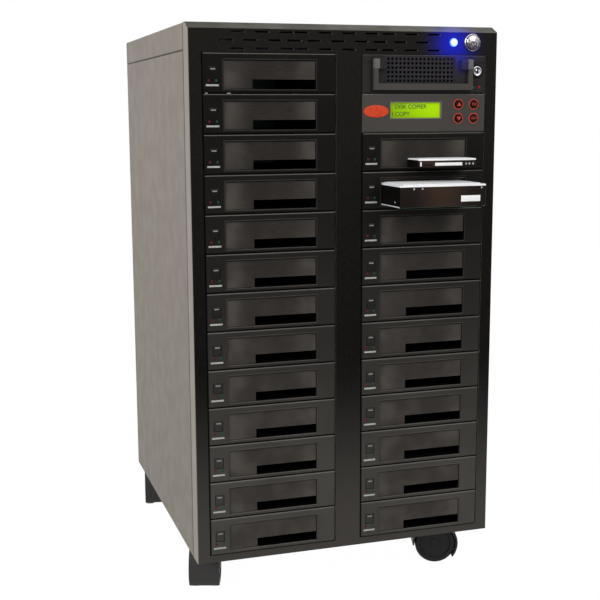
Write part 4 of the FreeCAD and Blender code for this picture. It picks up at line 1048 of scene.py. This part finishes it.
def small_drive():
    low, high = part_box("drive_small")
    wide, deep, tall = (high - low) / MM
    form = bmesh.new()
    block(form, low, (0, 0, 0), (wide, deep, tall - 1.0), 1.0, 3)
    body = piece("small_drive_casting", form, CASTING, "drive_small")
    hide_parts("drive_small")
    form = bmesh.new()
    block(form, low, (0.2, -0.1, tall - 2.4), (wide - 0.2, deep - 0.2, tall), 0.8, 3)
    lid = piece("small_drive_lid", form, LID, "drive_small")
    form = bmesh.new()
    for x in (6.5, 12.0):
        block(form, low, (x, -0.1, 1.6), (x + 4.4, 0.4, 3.6), 0.1)
    slots = piece("small_drive_contacts", form, BLACK, "drive_small")
    form = bmesh.new()
    block(form, low, (8.0, 6.0, tall - 0.2), (wide - 8.0, deep - 22.0, tall + 0.06), 0.05)
    block(form, low, (20.0, -0.12, 1.8), (wide - 17.0, 0.4, 5.2), 0.1)
    block(form, low, (2.2, -0.12, 1.4), (4.0, 0.4, 6.0), 0.1)
    label = piece("small_drive_labels", form, LABEL, "drive_small")
    form = bmesh.new()
    for x in (57.5, 61.5, 66.0):
        drive_screw(form, low, (x, -0.02, 3.6), -BACK, 1.2)
    for y in (14.0, 88.0):
        for x, axis in ((0.35, -RIGHT), (wide - 0.35, RIGHT)):
            drive_screw(form, low, (x, y, 3.2), axis, 1.3)
    screws = piece("small_drive_screws", form, STEEL, "drive_small")


# ---- casters ---------------------------------------------------------------
# In millimetres and degrees.
WHEEL_NEAR = 4.8
WHEEL_R = 25.0
# Along the axle from the wheel's inner face, and the radius there.
WHEEL_PROFILE = (
    (0.0, 3.0), (0.0, 19.5), (0.5, 22.5), (1.4, 24.2), (3.0, WHEEL_R), (9.6, WHEEL_R),
    (11.4, 24.0), (12.4, 22.0), (12.6, 19.0), (11.0, 18.0), (11.6, 6.4), (12.5, 5.6),
    (12.6, 0.0),
)
# Up from the floor under the stem, and the radius there.
NECK_PROFILE = (
    (43.0, 0.0), (43.0, 9.0), (52.0, 9.0), (54.5, 12.4), (56.9, 14.0), (59.2, 14.0),
    (59.7, 13.5), (59.7, 5.0), (68.0, 5.0), (68.0, 0.0),
)
HOOD_OUTER = 28.2
HOOD_INNER = 26.2
HOOD_ENDS = (-5, 219)
HOOD_HALF = 18.0
WEB_OUTER = 28.0
WEB_INNER = 20.0
WEB_HALF = 4.2


def caster_wheels(name, joint):
    """Two wheels with rounded treads and dished hubs, on one axle."""
    centre = Vector(joint["pos_m"])
    axis = Vector(joint["axis"]).normalized()
    form = bmesh.new()
    for way in (axis, -axis):
        turned(form, [(WHEEL_NEAR + out, radius) for out, radius in WHEEL_PROFILE], centre,
               way, 64)
    turned(form, [(-WHEEL_NEAR, 3.0), (WHEEL_NEAR, 3.0)], centre, axis, 24)
    wheels = piece(name + "_twin_wheels", form, WHEEL, name)
    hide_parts(name)


def caster_hood(name, swivel, roll):
    """Rounded hood over both wheels, the web between them, the neck and its flange."""
    stem = Vector(swivel["pos_m"])
    axle = Vector(roll["pos_m"])
    across = Vector(roll["axis"]).normalized()
    behind = (axle - stem) * Vector((1, 1, 0))
    behind.normalize()

    def arc(radius, start, end, steps=28):
        points = []
        for i in range(steps + 1):
            angle = math.radians(start + (end - start) * i / steps)
            way = math.cos(angle) * behind + math.sin(angle) * UP
            points.append(axle + radius * MM * way)
        return points

    def slab(outline, half):
        reach = across * half * MM
        prism(form, [point - reach for point in outline], 2 * reach)

    form = bmesh.new()
    slab(arc(HOOD_OUTER, *HOOD_ENDS, 48) + arc(HOOD_INNER, *HOOD_ENDS, 48)[::-1], HOOD_HALF)
    slab(arc(WEB_OUTER, -5, 125) + arc(WEB_INNER, 125, 355)[1:-1], WEB_HALF)
    hood = piece(name + "_hood", form, CASTER, name)
    round_edges(hood, 0.8, 3, 40)
    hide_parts(name)
    form = bmesh.new()
    turned(form, NECK_PROFILE, Vector((stem.x, stem.y, 0.0)), UP, 40)
    neck = piece(name + "_neck", form, CASTER, name)


def casters():
    for corner in ("front_left", "front_right", "back_left", "back_right"):
        name = "caster_" + corner
        roll = JOINTS[name + "_roll"]
        caster_hood(name + "_housing", JOINTS[name + "_swivel"], roll)
        caster_wheels(name + "_wheels", roll)


# ---- back ------------------------------------------------------------------
# Shares of a screw's length and of its radius, from its seat to the recess in its head.
THUMB_SCREW = ((0, 0), (0, 0.7), (0.25, 0.7), (0.3, 1), (0.95, 1), (1, 0.9), (1, 0.4),
               (0.8, 0.3), (0.8, 0))
SMALL_SCREW = ((0, 0), (0, 1), (0.6, 1), (1, 0.7), (1, 0.4), (0.5, 0.25), (0.5, 0))
THUMB_LENGTH = 3.0
INLET_ACROSS = 26.0
INLET_HALF_W = 14.0
INLET_HALF_H = 10.0
INLET_WALL = 0.8


def screws():
    """Thumb screws and small screws at the back, each with a recess in its head."""
    form = bmesh.new()
    for low, high in solid_boxes("screws"):
        length = (high.y - low.y) / MM
        radius = (high.z - low.z) / 2 / MM
        profile, steps = (THUMB_SCREW, 36) if length > THUMB_LENGTH else (SMALL_SCREW, 24)
        turned(form, [(along * length, share * radius) for along, share in profile],
               front_middle(low, high), BACK, steps)
    thing = piece("cover_screws", form, STEEL, "case")
    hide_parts("screws")


def power_inlet():
    """Black socket lining and the three blades of the power inlet."""
    low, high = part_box("power_supply")
    centre = Vector((low.x + INLET_ACROSS * MM, high.y, (low.z + high.z) / 2))
    x, z = INLET_HALF_W, INLET_HALF_H
    form = bmesh.new()
    for x0, x1, z0, z1 in ((-x, x, -z, INLET_WALL - z), (-x, x, z - INLET_WALL, z),
                           (-x, INLET_WALL - x, -z, z), (x - INLET_WALL, x, -z, z)):
        block(form, centre, (x0, -14.9, z0), (x1, 0.3, z1), 0.2)
    block(form, centre, (-x, -15.0, -z), (x, -14.2, z), 0.1)
    lining = piece("power_inlet_lining", form, BLACK, "case")
    form = bmesh.new()
    for x, z in ((-7.0, -2.0), (0.0, 2.0), (7.0, -2.0)):
        block(form, centre, (x - 1.1, -14.6, z - 3.1), (x + 1.1, -3.8, z + 3.1), 0.3)
    blades = piece("power_inlet_blades", form, BRASS, "case")


# ---- stage -----------------------------------------------------------------
FLOOR_HALF = 12.0
FLOOR_PALE = (0.86, 0.86, 0.86, 1.0)
FLOOR_WHITE = 0.97
FLOOR_LIGHT = 1.02
AIR_LIGHT = 0.38


def stage_floor():
    """Pale floor that keeps the object's shadow and goes to white for the camera."""
    finish = Finish("pale_floor")
    base = finish.add("BsdfDiffuse", inputs={"Color": FLOOR_PALE})
    white = finish.add("Emission", inputs={"Color": WHITE, "Strength": FLOOR_LIGHT})
    seen = finish.ray("Camera") + finish.ray("Glossy")
    finish.finished(finish.add("MixShader", inputs={0: seen * FLOOR_WHITE, 1: base, 2: white}))
    form = bmesh.new()
    bmesh.ops.create_grid(form, x_segments=1, y_segments=1, size=FLOOR_HALF)
    mesh = bpy.data.meshes.new("studio_floor")
    form.to_mesh(mesh)
    form.free()
    mesh.materials.append(finish.owner)
    floor = placed("studio_floor", mesh)


def soft_light(name, place, target, size, power):
    light = bpy.data.lights.new(name, "AREA")
    light.shape = "DISK"
    light.size = size
    light.energy = power
    holder = placed(name, light)
    holder.location = place
    holder.rotation_euler = (target - place).to_track_quat("-Z", "Y").to_euler()


def studio():
    """Three soft lights and a plain white room, dimmer as light than as what is seen."""
    middle = (CAD_LOW + CAD_HIGH) / 2
    soft_light("light_left", Vector((-2.6, -1.4, 1.9)), middle, 1.8, 46.0)
    soft_light("light_front", Vector((1.2, -3.0, 2.2)), middle, 2.0, 42.0)
    soft_light("light_back", Vector((1.5, 2.6, 2.4)), middle, 2.0, 34.0)
    air = Finish("studio_air", world=True)
    bpy.context.scene.world = air.owner
    lit = air.add("Background", inputs={"Color": WHITE, "Strength": AIR_LIGHT})
    seen = air.add("Background", inputs={"Color": WHITE, "Strength": 1.0})
    white = air.most(air.most(air.ray("Camera"), air.ray("Glossy")), air.ray("Transmission"))
    air.finished(air.add("MixShader", inputs={0: white, 1: lit, 2: seen}))


def camera():
    """Stands to the left of the machine and looks slightly down on it."""
    lens = bpy.data.cameras.new("camera")
    lens.sensor_width = 36.0
    lens.lens = 67.35
    lens.clip_start = 0.05
    holder = placed("camera", lens)
    holder.location = at(-249.5, -1167.5, 499.4)
    turn = Matrix.Rotation(math.radians(-17.6), 4, "Z")
    tip = Matrix.Rotation(math.radians(90 - 9.55), 4, "X")
    roll = Matrix.Rotation(math.radians(-0.25), 4, "Z")
    holder.rotation_euler = (turn @ tip @ roll).to_euler()
    bpy.context.scene.camera = holder


racks()
source_drawer()
display_panel()
power_button()
blue_light()
large_drive()
small_drive()
casters()
screws()
power_inlet()
softened("front_panel", FRONT_PAINT, "case", 0.3)
stage_floor()
studio()
camera()
bpy.context.scene.view_settings.view_transform = "Standard"
